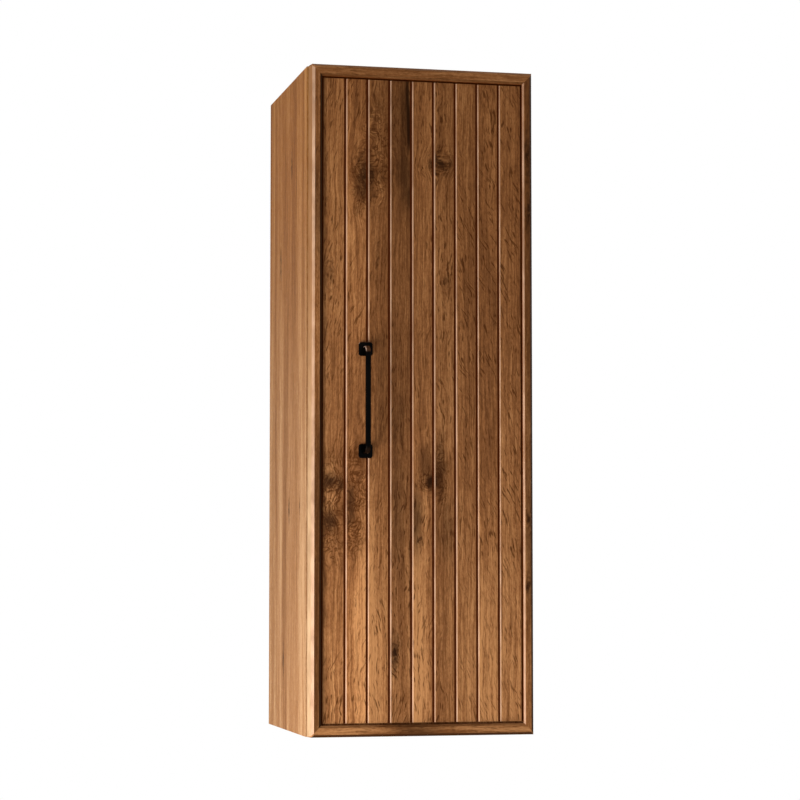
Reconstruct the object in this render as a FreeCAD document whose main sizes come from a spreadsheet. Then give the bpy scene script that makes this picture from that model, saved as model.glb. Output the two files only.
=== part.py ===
"""Tall wall-hung bathroom cabinet: a board carcass with one framed plank door on concealed pivots.

Frame: X to the right, Y towards the wall, Z up, in millimetres. The origin is the centre of the four
wall-screw holes, on the wall plane, so the cabinet lies in front of it at negative Y.
"""
import FreeCAD, Part
import math
import os
import Sketcher

Vector = FreeCAD.Vector

# Driving dimensions, in millimetres unless the name is a count.
DIMENSIONS = {
    # Overall
    "cab_width": 365.0,
    "cab_height": 1050.0,
    "cab_depth": 360.0,
    # Carcass boards
    "board": 18.0,
    "back_thick": 4.0,
    "back_groove": 7.0,
    "back_play": 0.1,
    "back_float": 0.5,
    "rail_thick": 16.0,
    "rail_height": 80.0,
    "wall_hole": 8.0,
    "wall_hole_span": 256.0,
    # Dowels
    "dowel_dia": 8.0,
    "dowel_length": 30.0,
    "dowel_in_side": 11.0,
    "dowel_play": 0.05,
    "dowel_end_play": 0.5,
    "dowel_edge": 60.0,
    "rail_dowel_edge": 20.0,
    # Shelves
    "shelf_thick": 18.0,
    "shelf_setback": 20.0,
    "shelf_play": 0.75,
    "shelf_back_play": 2.0,
    "pin_dia": 5.0,
    "pin_depth": 9.5,
    "pin_hole_depth": 10.0,
    "pin_play": 0.05,
    "pin_head_dia": 8.0,
    "pin_head_length": 9.0,
    "pin_seat": 2.5,
    "pin_pitch": 32.0,
    "pin_row_inset": 37.0,
    # Door frame
    "door_thick": 22.0,
    "door_gap": 3.0,
    "reveal": 2.0,
    "stick_width": 18.0,
    "edge_taper": 2.5,
    "arris": 4.0,
    "inner_bevel": 3.5,
    "tongue_thick": 6.0,
    "tongue_depth": 6.0,
    "tongue_play": 0.1,
    "tongue_float": 0.5,
    # Door panel
    "panel_recess": 6.0,
    "shadow_gap": 3.0,
    "panel_back_play": 0.3,
    "groove_width": 5.5,
    "groove_depth": 2.5,
    # Handle
    "handle_span": 160.0,
    "handle_reach": 25.0,
    "handle_left": 3.5,
    "handle_drop": 2.0,
    "bar_size": 8.0,
    "bar_round": 2.0,
    "bend_radius": 9.0,
    "rose_size": 22.0,
    "rose_thick": 3.0,
    "rose_corner": 4.0,
    "rose_edge": 0.8,
    "rose_play": 0.05,
    "handle_screw_dia": 4.0,
    "handle_screw_grip": 8.0,
    "handle_screw_play": 0.25,
    "handle_head_dia": 8.0,
    "handle_head_thick": 2.2,
    # Pivot hinges
    "pivot_inset": 7.2,
    "pivot_depth": 10.0,
    "pivot_dia": 4.0,
    "pivot_length": 12.0,
    "pivot_play": 0.05,
    "pivot_end_play": 0.3,
    "bush_dia": 7.0,
    "bush_length": 15.0,
    "bush_play": 0.05,
    "plate_thick": 1.5,
    "plate_play": 0.1,
    "plate_reach": 44.0,
    "plate_depth": 30.0,
    "plate_arm": 8.0,
    "plate_tip": 3.5,
    "arm_sink": 4.5,
    "arm_gap": 0.5,
    "arm_swing": 6.5,
    "plate_screw_dia": 3.5,
    "plate_screw_length": 11.0,
    "plate_screw_edge": 9.0,
    "sink_land": 0.1,
    "screw_play": 0.05,
    "screw_end_play": 0.5,
    # Magnetic catch and bumpers
    "catch_length": 46.0,
    "catch_depth": 15.0,
    "catch_thick": 13.0,
    "catch_wall": 2.0,
    "magnet_length": 24.0,
    "magnet_proud": 0.4,
    "magnet_play": 0.1,
    "catch_ear": 11.0,
    "catch_screw_dia": 3.0,
    "catch_screw_length": 12.0,
    "strike_length": 36.0,
    "strike_width": 11.0,
    "strike_thick": 2.0,
    "strike_play": 0.3,
    "strike_screw_dia": 2.5,
    "strike_screw_length": 9.0,
    "small_head_ratio": 2.0,
    "small_head_thick": 1.2,
    "bumper_dia": 8.0,
    "bumper_play": 0.3,
    "bumper_edge": 40.0,
    # Counts
    "plank_count": 9,
}

# Shelves from the lowest up, and the spare pin holes above and below each one's own.
SHELVES = ("shelf_lower", "shelf_middle", "shelf_upper")
SPARE_PIN_STEPS = (-1, 0, 1)

# Pieces that stand past a face before they are cut back to it.
OVERCUT = 1.0


class Size:
    """A length and the sheet expression that gives it."""

    def __init__(self, value, text):
        self.value = float(value)
        self.text = text

    @staticmethod
    def of(thing):
        if isinstance(thing, Size):
            return thing
        return Size(thing, repr(float(thing)))

    def __add__(self, other):
        other = Size.of(other)
        return Size(self.value + other.value, f"({self.text} + {other.text})")

    def __sub__(self, other):
        other = Size.of(other)
        return Size(self.value - other.value, f"({self.text} - {other.text})")

    def __mul__(self, other):
        other = Size.of(other)
        return Size(self.value * other.value, f"({self.text} * {other.text})")

    def __truediv__(self, other):
        other = Size.of(other)
        return Size(self.value / other.value, f"({self.text} / {other.text})")

    def __radd__(self, other):
        return Size.of(other) + self

    def __rsub__(self, other):
        return Size.of(other) - self

    def __rmul__(self, other):
        return Size.of(other) * self

    def __neg__(self):
        return Size(-self.value, f"(0 - {self.text})")


doc = FreeCAD.newDocument("BathroomCabinet")
sheet = doc.addObject("Spreadsheet::Sheet", "Sizes")
dim = {}
for row, (alias, number) in enumerate(DIMENSIONS.items(), start=1):
    sheet.set(f"A{row}", alias)
    sheet.set(f"B{row}", str(number))
    sheet.setAlias(f"B{row}", alias)
    dim[alias] = Size(number, f"Sizes.{alias}")
doc.recompute()

# Planes and widths that several pieces share.
half_width = dim["cab_width"] / 2
half_height = dim["cab_height"] / 2
carcass_depth = dim["cab_depth"] - dim["door_thick"] - dim["door_gap"]
inside_half_width = half_width - dim["board"]
inside_half_height = half_height - dim["board"]
carcass_front = -carcass_depth
back_rear = -dim["rail_thick"]
back_front = back_rear - dim["back_thick"]
door_front = -dim["cab_depth"]
door_back = door_front + dim["door_thick"]
door_half_width = half_width - dim["reveal"]
door_half_height = half_height
opening_half_width = door_half_width - dim["stick_width"]
opening_half_height = door_half_height - dim["stick_width"]
panel_front = door_front + dim["panel_recess"]
panel_thick = dim["door_thick"] - dim["panel_recess"]
tongue_front = panel_front + (panel_thick - dim["tongue_thick"]) / 2
tongue_back = tongue_front + dim["tongue_thick"]
face_half_width = opening_half_width - dim["shadow_gap"]
face_half_height = opening_half_height - dim["shadow_gap"]
plank_pitch = 2 * face_half_width / dim["plank_count"]
handle_x = 2 * plank_pitch - face_half_width - dim["handle_left"]
handle_z = -dim["handle_drop"]
handle_half_span = dim["handle_span"] / 2
wall_hole_z = inside_half_height - dim["rail_height"] / 2
wall_hole_x = dim["wall_hole_span"] / 2
pivot_x = door_half_width - dim["pivot_inset"]
pivot_y = door_back - dim["pivot_depth"]
dowel_hole = dim["dowel_dia"] / 2 + dim["dowel_play"]
plate_left = half_width - dim["plate_reach"]
plate_right = half_width - dim["reveal"]
plate_rear = carcass_front + dim["plate_depth"]
plate_top = half_height - dim["arm_sink"]
plate_under = plate_top - dim["plate_thick"]
arm_floor = plate_under - dim["arm_gap"]
plate_sink = dim["plate_thick"] - dim["sink_land"]
strike_sink = dim["strike_screw_dia"] / 2
shelf_gap = (2 * inside_half_height - len(SHELVES) * dim["shelf_thick"]) / (len(SHELVES) + 1)
pin_front_y = carcass_front + dim["shelf_setback"] + dim["pin_row_inset"]
pin_back_y = back_front - dim["shelf_back_play"] - dim["pin_row_inset"]

nodes = []


def add_body(name):
    """Start a named sub-part."""
    body = doc.addObject("PartDesign::Body", name)
    body.Label = name
    nodes.append(body)
    return body


def add_shape(name, shapes):
    """Make a named sub-part from one or more ready solids."""
    feature = doc.addObject("Part::Feature", name)
    feature.Label = name
    feature.Shape = Part.makeCompound(shapes) if len(shapes) > 1 else shapes[0]
    feature.Placement = FreeCAD.Placement()
    nodes.append(feature)


def add_sketch(body, role, offset=None):
    """Start a sketch on one of the body's own planes, moved along the plane's normal."""
    sketch = body.newObject("Sketcher::SketchObject", f"{body.Name}_sketch")
    plane = [item for item in body.Origin.OriginFeatures if item.Role == role][0]
    sketch.AttachmentSupport = [(plane, "")]
    sketch.MapMode = "FlatFace"
    if offset is not None:
        sketch.setExpression("AttachmentOffset.Base.z", offset.text)
    return sketch


def fix_point(sketch, index, end, point):
    """Tie one end of a sketch line or arc, or a circle's centre, to its two sizes."""
    for kind, size in zip(("DistanceX", "DistanceY"), point):
        number = sketch.addConstraint(Sketcher.Constraint(kind, -1, 1, index, end, size.value))
        sketch.setExpression(f"Constraints[{number}]", size.text)


def add_outline(sketch, points):
    """Draw a closed outline through points that are pairs of sizes."""
    points = [(Size.of(x), Size.of(y)) for x, y in points]
    start = sketch.GeometryCount
    count = len(points)
    for index, point in enumerate(points):
        after = points[(index + 1) % count]
        first = Vector(point[0].value, point[1].value, 0)
        last = Vector(after[0].value, after[1].value, 0)
        sketch.addGeometry(Part.LineSegment(first, last), False)
    for index, point in enumerate(points):
        following = start + (index + 1) % count
        sketch.addConstraint(Sketcher.Constraint("Coincident", start + index, 2, following, 1))
        fix_point(sketch, start + index, 1, point)


def add_rectangle(sketch, x_low, x_high, y_low, y_high):
    """Draw a closed rectangle between two pairs of sizes."""
    add_outline(sketch, [(x_low, y_low), (x_high, y_low), (x_high, y_high), (x_low, y_high)])


def add_circles(sketch, centres, radius):
    """Draw circles of one radius at pairs of sizes."""
    for centre in centres:
        centre = (Size.of(centre[0]), Size.of(centre[1]))
        middle = Vector(centre[0].value, centre[1].value, 0)
        index = sketch.addGeometry(Part.Circle(middle, Vector(0, 0, 1), radius.value), False)
        number = sketch.addConstraint(Sketcher.Constraint("Radius", index, radius.value))
        sketch.setExpression(f"Constraints[{number}]", radius.text)
        fix_point(sketch, index, 3, centre)


def add_pad(body, sketch, length, symmetric=False, flipped=False):
    """Raise a sketch by a length."""
    pad = body.newObject("PartDesign::Pad", f"{body.Name}_pad")
    pad.Profile = sketch
    pad.setExpression("Length", length.text)
    pad.SideType = "Symmetric" if symmetric else "One side"
    pad.Reversed = flipped
    doc.recompute()
    return pad


def add_pocket(body, sketch, length=None, flipped=False):
    """Cut a sketch by a length against its normal, or right through both ways."""
    before = body.Shape.Volume
    pocket = body.newObject("PartDesign::Pocket", f"{body.Name}_pocket")
    pocket.Profile = sketch
    if length is None:
        pocket.Type = "ThroughAll"
        pocket.SideType = "Symmetric"
    else:
        pocket.setExpression("Length", length.text)
        pocket.Reversed = flipped
    doc.recompute()
    if body.Shape.Volume > before - 1e-3:
        raise RuntimeError(f"{pocket.Label} cuts nothing")
    return pocket


def add_fillet(body, feature, radius, chosen):
    """Round the edges of a feature that a test picks."""
    names = [f"Edge{i}" for i, edge in enumerate(feature.Shape.Edges, start=1) if chosen(edge)]
    fillet = body.newObject("PartDesign::Fillet", f"{body.Name}_fillet")
    fillet.Base = (feature, names)
    fillet.setExpression("Radius", radius.text)
    doc.recompute()
    return fillet


def is_along(edge, direction):
    """Tell whether a straight edge runs along a direction."""
    if not isinstance(edge.Curve, Part.Line):
        return False
    return abs(abs(edge.Curve.Direction.dot(direction)) - 1) < 1e-6


def point_of(x, y, z):
    """Make a point from three sizes."""
    return Vector(Size.of(x).value, Size.of(y).value, Size.of(z).value)


def rod(start, direction, radius, length):
    """Make a round bar from a point along a direction."""
    return Part.makeCylinder(Size.of(radius).value, Size.of(length).value, start, direction)


def shelf_bottom(number):
    """Give the height of a shelf's underside, counted from the lowest."""
    return shelf_gap * (number + 1) + dim["shelf_thick"] * number - inside_half_height


def pin_axis_z(number):
    """Give the height of a shelf's pin axis: the pin's flat seat carries the shelf."""
    return shelf_bottom(number) - dim["pin_seat"]


def corner_dowel_ys():
    """Give the depths of the two dowels in each corner joint."""
    return (carcass_front + dim["dowel_edge"], back_front - dim["dowel_edge"])


def corner_dowel_z(end):
    """Give the height of the dowels in the top (+1) or bottom (-1) board."""
    return end * (half_height - dim["board"] / 2)


def rail_dowel_zs(end):
    """Give the heights of the two dowels in the upper (+1) or lower (-1) rail's end."""
    near = inside_half_height - dim["rail_dowel_edge"]
    far = inside_half_height - dim["rail_height"] + dim["rail_dowel_edge"]
    return (end * near, end * far)


def dowel_points():
    """List the depth and height of every dowel in one side board."""
    points = []
    for end in (1, -1):
        points += [(y, corner_dowel_z(end)) for y in corner_dowel_ys()]
        points += [(back_rear / 2, z) for z in rail_dowel_zs(end)]
    return points


def plate_screw_points():
    """List the plan positions of the screws in one pivot plate: two in the side, one in the top board."""
    edge = dim["plate_screw_edge"]
    right = half_width - dim["board"] / 2
    front = carcass_front + edge
    return [(right, front), (right, plate_rear - edge), (plate_left + edge, front)]


def let_in_plate(body, end, screws):
    """Let a pivot plate into the board's upper (+1) or lower (-1) face, with its screws' pilot holes."""
    seat = add_sketch(body, "XY_Plane", end * half_height)
    add_rectangle(
        seat,
        plate_left - dim["plate_play"],
        plate_right + dim["plate_play"],
        carcass_front - OVERCUT,
        plate_rear + dim["plate_play"],
    )
    add_pocket(body, seat, half_height - plate_under, flipped=end < 0)
    holes = add_sketch(body, "XY_Plane", end * plate_top)
    add_circles(holes, screws, dim["plate_screw_dia"] / 2 + dim["screw_play"])
    add_pocket(body, holes, dim["plate_screw_length"] + dim["screw_end_play"], flipped=end < 0)


def make_side_panel(name, side):
    """Full-height side board, grooved for the back and drilled for dowels and shelf pins."""
    body = add_body(name)
    outer = side * half_width
    inner = side * inside_half_width
    floor = side * (inside_half_width + dim["back_groove"])
    profile = add_sketch(body, "XY_Plane")
    add_outline(
        profile,
        [
            (outer, 0),
            (outer, carcass_front),
            (inner, carcass_front),
            (inner, back_front - dim["back_play"]),
            (floor, back_front - dim["back_play"]),
            (floor, back_rear + dim["back_play"]),
            (inner, back_rear + dim["back_play"]),
            (inner, 0),
        ],
    )
    add_pad(body, profile, dim["cab_height"], symmetric=True)
    dowels = add_sketch(body, "YZ_Plane", inner)
    add_circles(dowels, dowel_points(), dowel_hole)
    add_pocket(body, dowels, dim["dowel_in_side"] + dim["dowel_end_play"], flipped=side > 0)
    pins = add_sketch(body, "YZ_Plane", inner)
    for number in range(len(SHELVES)):
        heights = [pin_axis_z(number) + step * dim["pin_pitch"] for step in SPARE_PIN_STEPS]
        centres = [(y, z) for y in (pin_front_y, pin_back_y) for z in heights]
        add_circles(pins, centres, dim["pin_dia"] / 2 + dim["pin_play"])
    add_pocket(body, pins, dim["pin_hole_depth"], flipped=side > 0)
    return body


def make_flat_board(name, end):
    """Top (+1) or bottom (-1) board between the sides, grooved for the back."""
    body = add_body(name)
    outer = end * half_height
    inner = end * inside_half_height
    floor = end * (inside_half_height + dim["back_groove"])
    profile = add_sketch(body, "YZ_Plane")
    add_outline(
        profile,
        [
            (0, outer),
            (carcass_front, outer),
            (carcass_front, inner),
            (back_front - dim["back_play"], inner),
            (back_front - dim["back_play"], floor),
            (back_rear + dim["back_play"], floor),
            (back_rear + dim["back_play"], inner),
            (0, inner),
        ],
    )
    add_pad(body, profile, 2 * inside_half_width, symmetric=True)
    depth = dim["dowel_length"] - dim["dowel_in_side"] + dim["dowel_end_play"]
    for side in (1, -1):
        dowels = add_sketch(body, "YZ_Plane", side * inside_half_width)
        add_circles(dowels, [(y, corner_dowel_z(end)) for y in corner_dowel_ys()], dowel_hole)
        add_pocket(body, dowels, depth, flipped=side < 0)
    let_in_plate(body, end, plate_screw_points()[2:])


def wall_hole_points(ends):
    """List the wall-screw holes of the upper (+1) and lower (-1) rows."""
    return [(side * wall_hole_x, end * wall_hole_z) for end in ends for side in (1, -1)]


def make_back_panel():
    """Thin back, held in the grooves of all four boards."""
    body = add_body("back_panel")
    reach = dim["back_groove"] - dim["back_float"]
    outline = add_sketch(body, "XZ_Plane", -back_rear)
    wide = inside_half_width + reach
    tall = inside_half_height + reach
    add_rectangle(outline, -wide, wide, -tall, tall)
    add_pad(body, outline, dim["back_thick"])
    holes = add_sketch(body, "XZ_Plane")
    add_circles(holes, wall_hole_points((1, -1)), dim["wall_hole"] / 2)
    add_pocket(body, holes)


def make_hanging_rail(name, end):
    """Rail behind the back panel that takes two wall screws."""
    body = add_body(name)
    outline = add_sketch(body, "XZ_Plane")
    low = end * inside_half_height
    high = end * (inside_half_height - dim["rail_height"])
    add_rectangle(outline, -inside_half_width, inside_half_width, low, high)
    add_pad(body, outline, dim["rail_thick"])
    holes = add_sketch(body, "XZ_Plane")
    add_circles(holes, wall_hole_points((end,)), dim["wall_hole"] / 2)
    add_pocket(body, holes)
    depth = dim["dowel_length"] - dim["dowel_in_side"] + dim["dowel_end_play"]
    for side in (1, -1):
        dowels = add_sketch(body, "YZ_Plane", side * inside_half_width)
        add_circles(dowels, [(back_rear / 2, z) for z in rail_dowel_zs(end)], dowel_hole)
        add_pocket(body, dowels, depth, flipped=side < 0)


def make_shelf(name, number):
    """Loose shelf that lies on four pins."""
    body = add_body(name)
    outline = add_sketch(body, "XY_Plane")
    half = inside_half_width - dim["shelf_play"]
    front = carcass_front + dim["shelf_setback"]
    add_rectangle(outline, -half, half, front, back_front - dim["shelf_back_play"])
    add_pad(body, outline, dim["shelf_thick"])
    body.setExpression("Placement.Base.z", shelf_bottom(number).text)
    doc.recompute()


def make_shelf_pins():
    """Twelve shelf pins: a shank in the side board and a flat-topped head under the shelf."""
    solids = []
    for number in range(len(SHELVES)):
        for side in (1, -1):
            for y in (pin_front_y, pin_back_y):
                outward = Vector(side, 0, 0)
                start = point_of(side * inside_half_width, y, pin_axis_z(number))
                shank = rod(start, outward, dim["pin_dia"] / 2, dim["pin_depth"])
                head = rod(start, -outward, dim["pin_head_dia"] / 2, dim["pin_head_length"])
                spare = dim["pin_head_dia"].value
                above = Part.makeBox(2 * spare, 2 * spare, spare)
                above.translate(start + Vector(-side * spare - spare, -spare, dim["pin_seat"].value))
                solids.append(shank.fuse(head.cut(above)).removeSplitter())
    add_shape("shelf_pins", solids)


def make_carcass_dowels():
    """Dowels that hold the corner joints and the ends of the hanging rails."""
    solids = []
    for side in (1, -1):
        for y, z in dowel_points():
            start = point_of(side * (inside_half_width + dim["dowel_in_side"]), y, z)
            solids.append(rod(start, Vector(-side, 0, 0), dim["dowel_dia"] / 2, dim["dowel_length"]))
    add_shape("carcass_dowels", solids)


def stick_profile(across, taper):
    """List a door stick's section as pairs of distance from the outer edge and depth.

    The outer edge leans in by the taper up to the arris, the inner bevel faces forwards, and the inner
    edge is grooved for the panel.
    """
    wide = dim["stick_width"]
    groove_floor = wide - dim["tongue_depth"]
    groove_front = tongue_front - dim["tongue_play"]
    groove_back = tongue_back + dim["tongue_play"]
    return [
        (across(taper), door_front + dim["arris"]),
        (across(taper + dim["arris"]), door_front),
        (across(wide - dim["inner_bevel"]), door_front),
        (across(wide), door_front + dim["inner_bevel"]),
        (across(wide), groove_front),
        (across(groove_floor), groove_front),
        (across(groove_floor), groove_back),
        (across(wide), groove_back),
        (across(wide), door_back),
        (across(Size.of(0)), door_back),
    ]


def make_door_stile(name, side):
    """Upright stick of the door frame, mitred at both ends."""
    body = add_body(name)
    profile = add_sketch(body, "XY_Plane")
    points = stick_profile(lambda distance: side * (door_half_width - distance), dim["edge_taper"])
    add_outline(profile, points)
    add_pad(body, profile, 2 * door_half_height, symmetric=True)
    mitre = add_sketch(body, "XZ_Plane")
    for end in (1, -1):
        beyond = side * (door_half_width + OVERCUT)
        within = side * (opening_half_width - OVERCUT)
        tip = end * (door_half_height + OVERCUT)
        root = end * (opening_half_height - OVERCUT)
        add_outline(mitre, [(beyond, tip), (within, root), (within, tip)])
    add_pocket(body, mitre)
    return body


def make_door_rail(name, end):
    """Level stick of the door frame, mitred at both ends and cut for the hinge at one."""
    body = add_body(name)
    profile = add_sketch(body, "YZ_Plane")
    points = stick_profile(lambda distance: end * (door_half_height - distance), Size.of(0))
    add_outline(profile, [(depth, height) for height, depth in points])
    add_pad(body, profile, 2 * door_half_width, symmetric=True)
    mitre = add_sketch(body, "XZ_Plane")
    for side in (1, -1):
        beyond = side * (door_half_width + OVERCUT)
        within = side * (opening_half_width - OVERCUT)
        tip = end * (door_half_height + OVERCUT)
        root = end * (opening_half_height - OVERCUT)
        add_outline(mitre, [(beyond, tip), (within, root), (beyond, root)])
    add_pocket(body, mitre)
    trim_rail_ends(body)
    cut_hinge_corner(body, end)


def trim_rail_ends(body):
    """Trim a rail's two ends to the tapered edge and arris of the stiles."""
    trim = add_sketch(body, "XY_Plane")
    for side in (1, -1):
        beyond = side * (door_half_width + OVERCUT)
        edge = side * (door_half_width - dim["edge_taper"])
        face = side * (door_half_width - dim["edge_taper"] - dim["arris"])
        add_outline(
            trim,
            [
                (side * door_half_width, door_back),
                (edge, door_front + dim["arris"]),
                (face, door_front),
                (face, door_front - OVERCUT),
                (beyond, door_front - OVERCUT),
                (beyond, door_back),
            ],
        )
    add_pocket(body, trim)


def cut_hinge_corner(body, end):
    """Recess the door's upper (+1) or lower (-1) corner for the hinge arm and bore it for the bush.

    The recess is open to the back and the outer side; its front wall ends the door's swing.
    """
    recess = add_sketch(body, "XY_Plane", end * door_half_height)
    add_rectangle(
        recess,
        pivot_x - dim["plate_arm"] / 2 - dim["arm_gap"],
        door_half_width + OVERCUT,
        pivot_y - dim["arm_swing"],
        door_back + OVERCUT,
    )
    add_pocket(body, recess, door_half_height - arm_floor, flipped=end < 0)
    bush = add_sketch(body, "XY_Plane", end * arm_floor)
    add_circles(bush, [(pivot_x, pivot_y)], dim["bush_dia"] / 2 + dim["bush_play"])
    add_pocket(body, bush, dim["bush_length"], flipped=end < 0)


def strike_screw_points():
    """List the strike plate's screws in the door's plane."""
    reach = dim["strike_length"] / 2 - dim["strike_screw_dia"] * dim["small_head_ratio"]
    return [(strike_x(), reach), (strike_x(), -reach)]


def strike_x():
    """Give the middle of the catch, across the cabinet."""
    return dim["catch_thick"] / 2 - inside_half_width


def handle_points():
    """List the handle's two fixing points in the door's plane."""
    return [(handle_x, handle_z + handle_half_span), (handle_x, handle_z - handle_half_span)]


def make_door_panel():
    """Plank panel: a tongued slab whose raised face is cut by equal V-grooves."""
    body = add_body("door_panel")
    face = add_sketch(body, "XZ_Plane", -tongue_front)
    add_rectangle(face, -face_half_width, face_half_width, -face_half_height, face_half_height)
    add_pad(body, face, tongue_front - panel_front)
    reach = dim["tongue_depth"] - dim["tongue_float"]
    wide = opening_half_width + reach
    tall = opening_half_height + reach
    tongue = add_sketch(body, "XZ_Plane", -tongue_back)
    add_rectangle(tongue, -wide, wide, -tall, tall)
    add_pad(body, tongue, dim["tongue_thick"])
    wide = opening_half_width - dim["panel_back_play"]
    tall = opening_half_height - dim["panel_back_play"]
    rear = add_sketch(body, "XZ_Plane", -door_back)
    add_rectangle(rear, -wide, wide, -tall, tall)
    add_pad(body, rear, door_back - tongue_back)
    drill_panel(body)
    cut_plank_grooves(body)


def drill_panel(body):
    """Drill the panel for the handle's screws and the strike plate's screws."""
    handle = add_sketch(body, "XZ_Plane")
    add_circles(handle, handle_points(), dim["handle_screw_dia"] / 2 + dim["handle_screw_play"])
    add_pocket(body, handle)
    strike = add_sketch(body, "XZ_Plane", -door_back)
    add_circles(strike, strike_screw_points(), dim["strike_screw_dia"] / 2 + dim["screw_play"])
    add_pocket(body, strike, dim["strike_screw_length"] + dim["screw_end_play"], flipped=True)


def cut_plank_grooves(body):
    """Cut the first V-groove and repeat it across the face."""
    first = plank_pitch - face_half_width
    half = dim["groove_width"] / 2
    groove = add_sketch(body, "XY_Plane")
    add_outline(
        groove,
        [
            (first - half, panel_front),
            (first, panel_front + dim["groove_depth"]),
            (first + half, panel_front),
            (first + half, panel_front - OVERCUT),
            (first - half, panel_front - OVERCUT),
        ],
    )
    cut = add_pocket(body, groove)
    before = body.Shape.Volume
    pattern = body.newObject("PartDesign::LinearPattern", "plank_grooves")
    pattern.Originals = [cut]
    pattern.Direction = (groove, ["H_Axis"])
    pattern.setExpression("Length", (plank_pitch * (dim["plank_count"] - 2)).text)
    pattern.setExpression("Occurrences", (dim["plank_count"] - 1).text)
    body.Tip = pattern
    doc.recompute()
    if body.Shape.Volume > before - 1:
        raise RuntimeError("the plank grooves weren't repeated")


def make_handle_rose(name, end):
    """Square rose with rounded corners, bored for the handle's foot."""
    body = add_body(name)
    outline = add_sketch(body, "XZ_Plane")
    half = dim["rose_size"] / 2
    add_rectangle(outline, -half, half, -half, half)
    pad = add_pad(body, outline, dim["rose_thick"])
    corners = add_fillet(body, pad, dim["rose_corner"], lambda edge: is_along(edge, Vector(0, 1, 0)))
    front = -dim["rose_thick"].value
    add_fillet(
        body,
        corners,
        dim["rose_edge"],
        lambda edge: all(abs(corner.Y - front) < 1e-6 for corner in edge.Vertexes),
    )
    foot = add_sketch(body, "XZ_Plane")
    hole = dim["bar_size"] / 2 + dim["rose_play"]
    add_rectangle(foot, -hole, hole, -hole, hole)
    cut = add_pocket(body, foot)

    def is_hole_corner(edge):
        """Pick the four corner edges of the foot's hole."""
        return is_along(edge, Vector(0, 1, 0)) and abs(abs(edge.Vertexes[0].X) - hole.value) < 1e-6

    add_fillet(body, cut, dim["bar_round"], is_hole_corner)
    body.setExpression("Placement.Base.x", handle_x.text)
    body.setExpression("Placement.Base.y", panel_front.text)
    body.setExpression("Placement.Base.z", (handle_z + end * handle_half_span).text)
    doc.recompute()


def make_handle_bar():
    """Square pull bar with rounded edges, bent to a foot at each end and tapped for its screws."""
    body = add_body("handle_bar")
    radius = dim["bend_radius"]
    reach = -(dim["handle_reach"] - dim["bar_size"] / 2)
    spine = add_sketch(body, "YZ_Plane")
    turn = reach + radius
    rise = handle_half_span - radius
    zero = Size.of(0)
    runs = [
        ((zero, handle_half_span), (turn, handle_half_span)),
        ((reach, rise), (reach, -rise)),
        ((turn, -handle_half_span), (zero, -handle_half_span)),
    ]
    for first, last in runs:
        start = Vector(first[0].value, first[1].value, 0)
        finish = Vector(last[0].value, last[1].value, 0)
        index = sketch_line(spine, start, finish)
        fix_point(spine, index, 1, first)
        fix_point(spine, index, 2, last)
    quarter = math.pi / 2
    add_bend(spine, turn, rise, radius, quarter, 2 * quarter, (0, 2), (1, 1))
    add_bend(spine, turn, -rise, radius, 2 * quarter, 3 * quarter, (1, 2), (2, 1))
    half = dim["bar_size"] / 2
    section = add_sketch(body, "XZ_Plane")
    add_rectangle(section, -half, half, handle_half_span - half, handle_half_span + half)
    pipe = body.newObject("PartDesign::AdditivePipe", "handle_bar_pipe")
    pipe.Profile = section
    pipe.Spine = (spine, [])
    doc.recompute()
    long_edges = [Vector(0, 1, 0), Vector(0, 0, 1)]

    def runs_along_bar(edge):
        """Pick the bar's four long edges, bends included, and leave the ends square."""
        if isinstance(edge.Curve, Part.Circle):
            return True
        across = abs(edge.Length - dim["bar_size"].value) < 1e-3
        return any(is_along(edge, way) for way in long_edges) and not across

    add_fillet(body, pipe, dim["bar_round"], runs_along_bar)
    tapped = add_sketch(body, "XZ_Plane")
    feet = [(0, handle_half_span), (0, -handle_half_span)]
    add_circles(tapped, feet, dim["handle_screw_dia"] / 2 + dim["screw_play"])
    add_pocket(body, tapped, dim["handle_screw_grip"] + dim["screw_end_play"], flipped=True)
    body.setExpression("Placement.Base.x", handle_x.text)
    body.setExpression("Placement.Base.y", panel_front.text)
    body.setExpression("Placement.Base.z", handle_z.text)
    doc.recompute()


def sketch_line(sketch, start, finish):
    """Draw one line and give its number."""
    return sketch.addGeometry(Part.LineSegment(start, finish), False)


def add_bend(sketch, x, y, radius, first, last, before, after):
    """Draw a quarter bend that joins the end of one line to the start of the next."""
    circle = Part.Circle(Vector(x.value, y.value, 0), Vector(0, 0, 1), radius.value)
    index = sketch.addGeometry(Part.ArcOfCircle(circle, first, last), False)
    sketch.addConstraint(Sketcher.Constraint("Coincident", before[0], before[1], index, 1))
    sketch.addConstraint(Sketcher.Constraint("Coincident", index, 2, after[0], after[1]))
    number = sketch.addConstraint(Sketcher.Constraint("Radius", index, radius.value))
    sketch.setExpression(f"Constraints[{number}]", radius.text)


def pan_screw(start, inward, radius, length, head_radius, head_thick):
    """Make a screw with a flat head that stands on the face at its start."""
    shank = rod(start, inward, radius, length)
    head = rod(start, -inward, head_radius, head_thick)
    return shank.fuse(head).removeSplitter()


def sunk_screw(start, inward, radius, length, sink):
    """Make a screw with a cone head that ends flush with the face at its start."""
    radius = Size.of(radius).value
    depth = Size.of(sink).value
    head = Part.makeCone(radius + depth, radius, depth, start, inward)
    return rod(start, inward, radius, length).fuse(head).removeSplitter()


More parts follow.
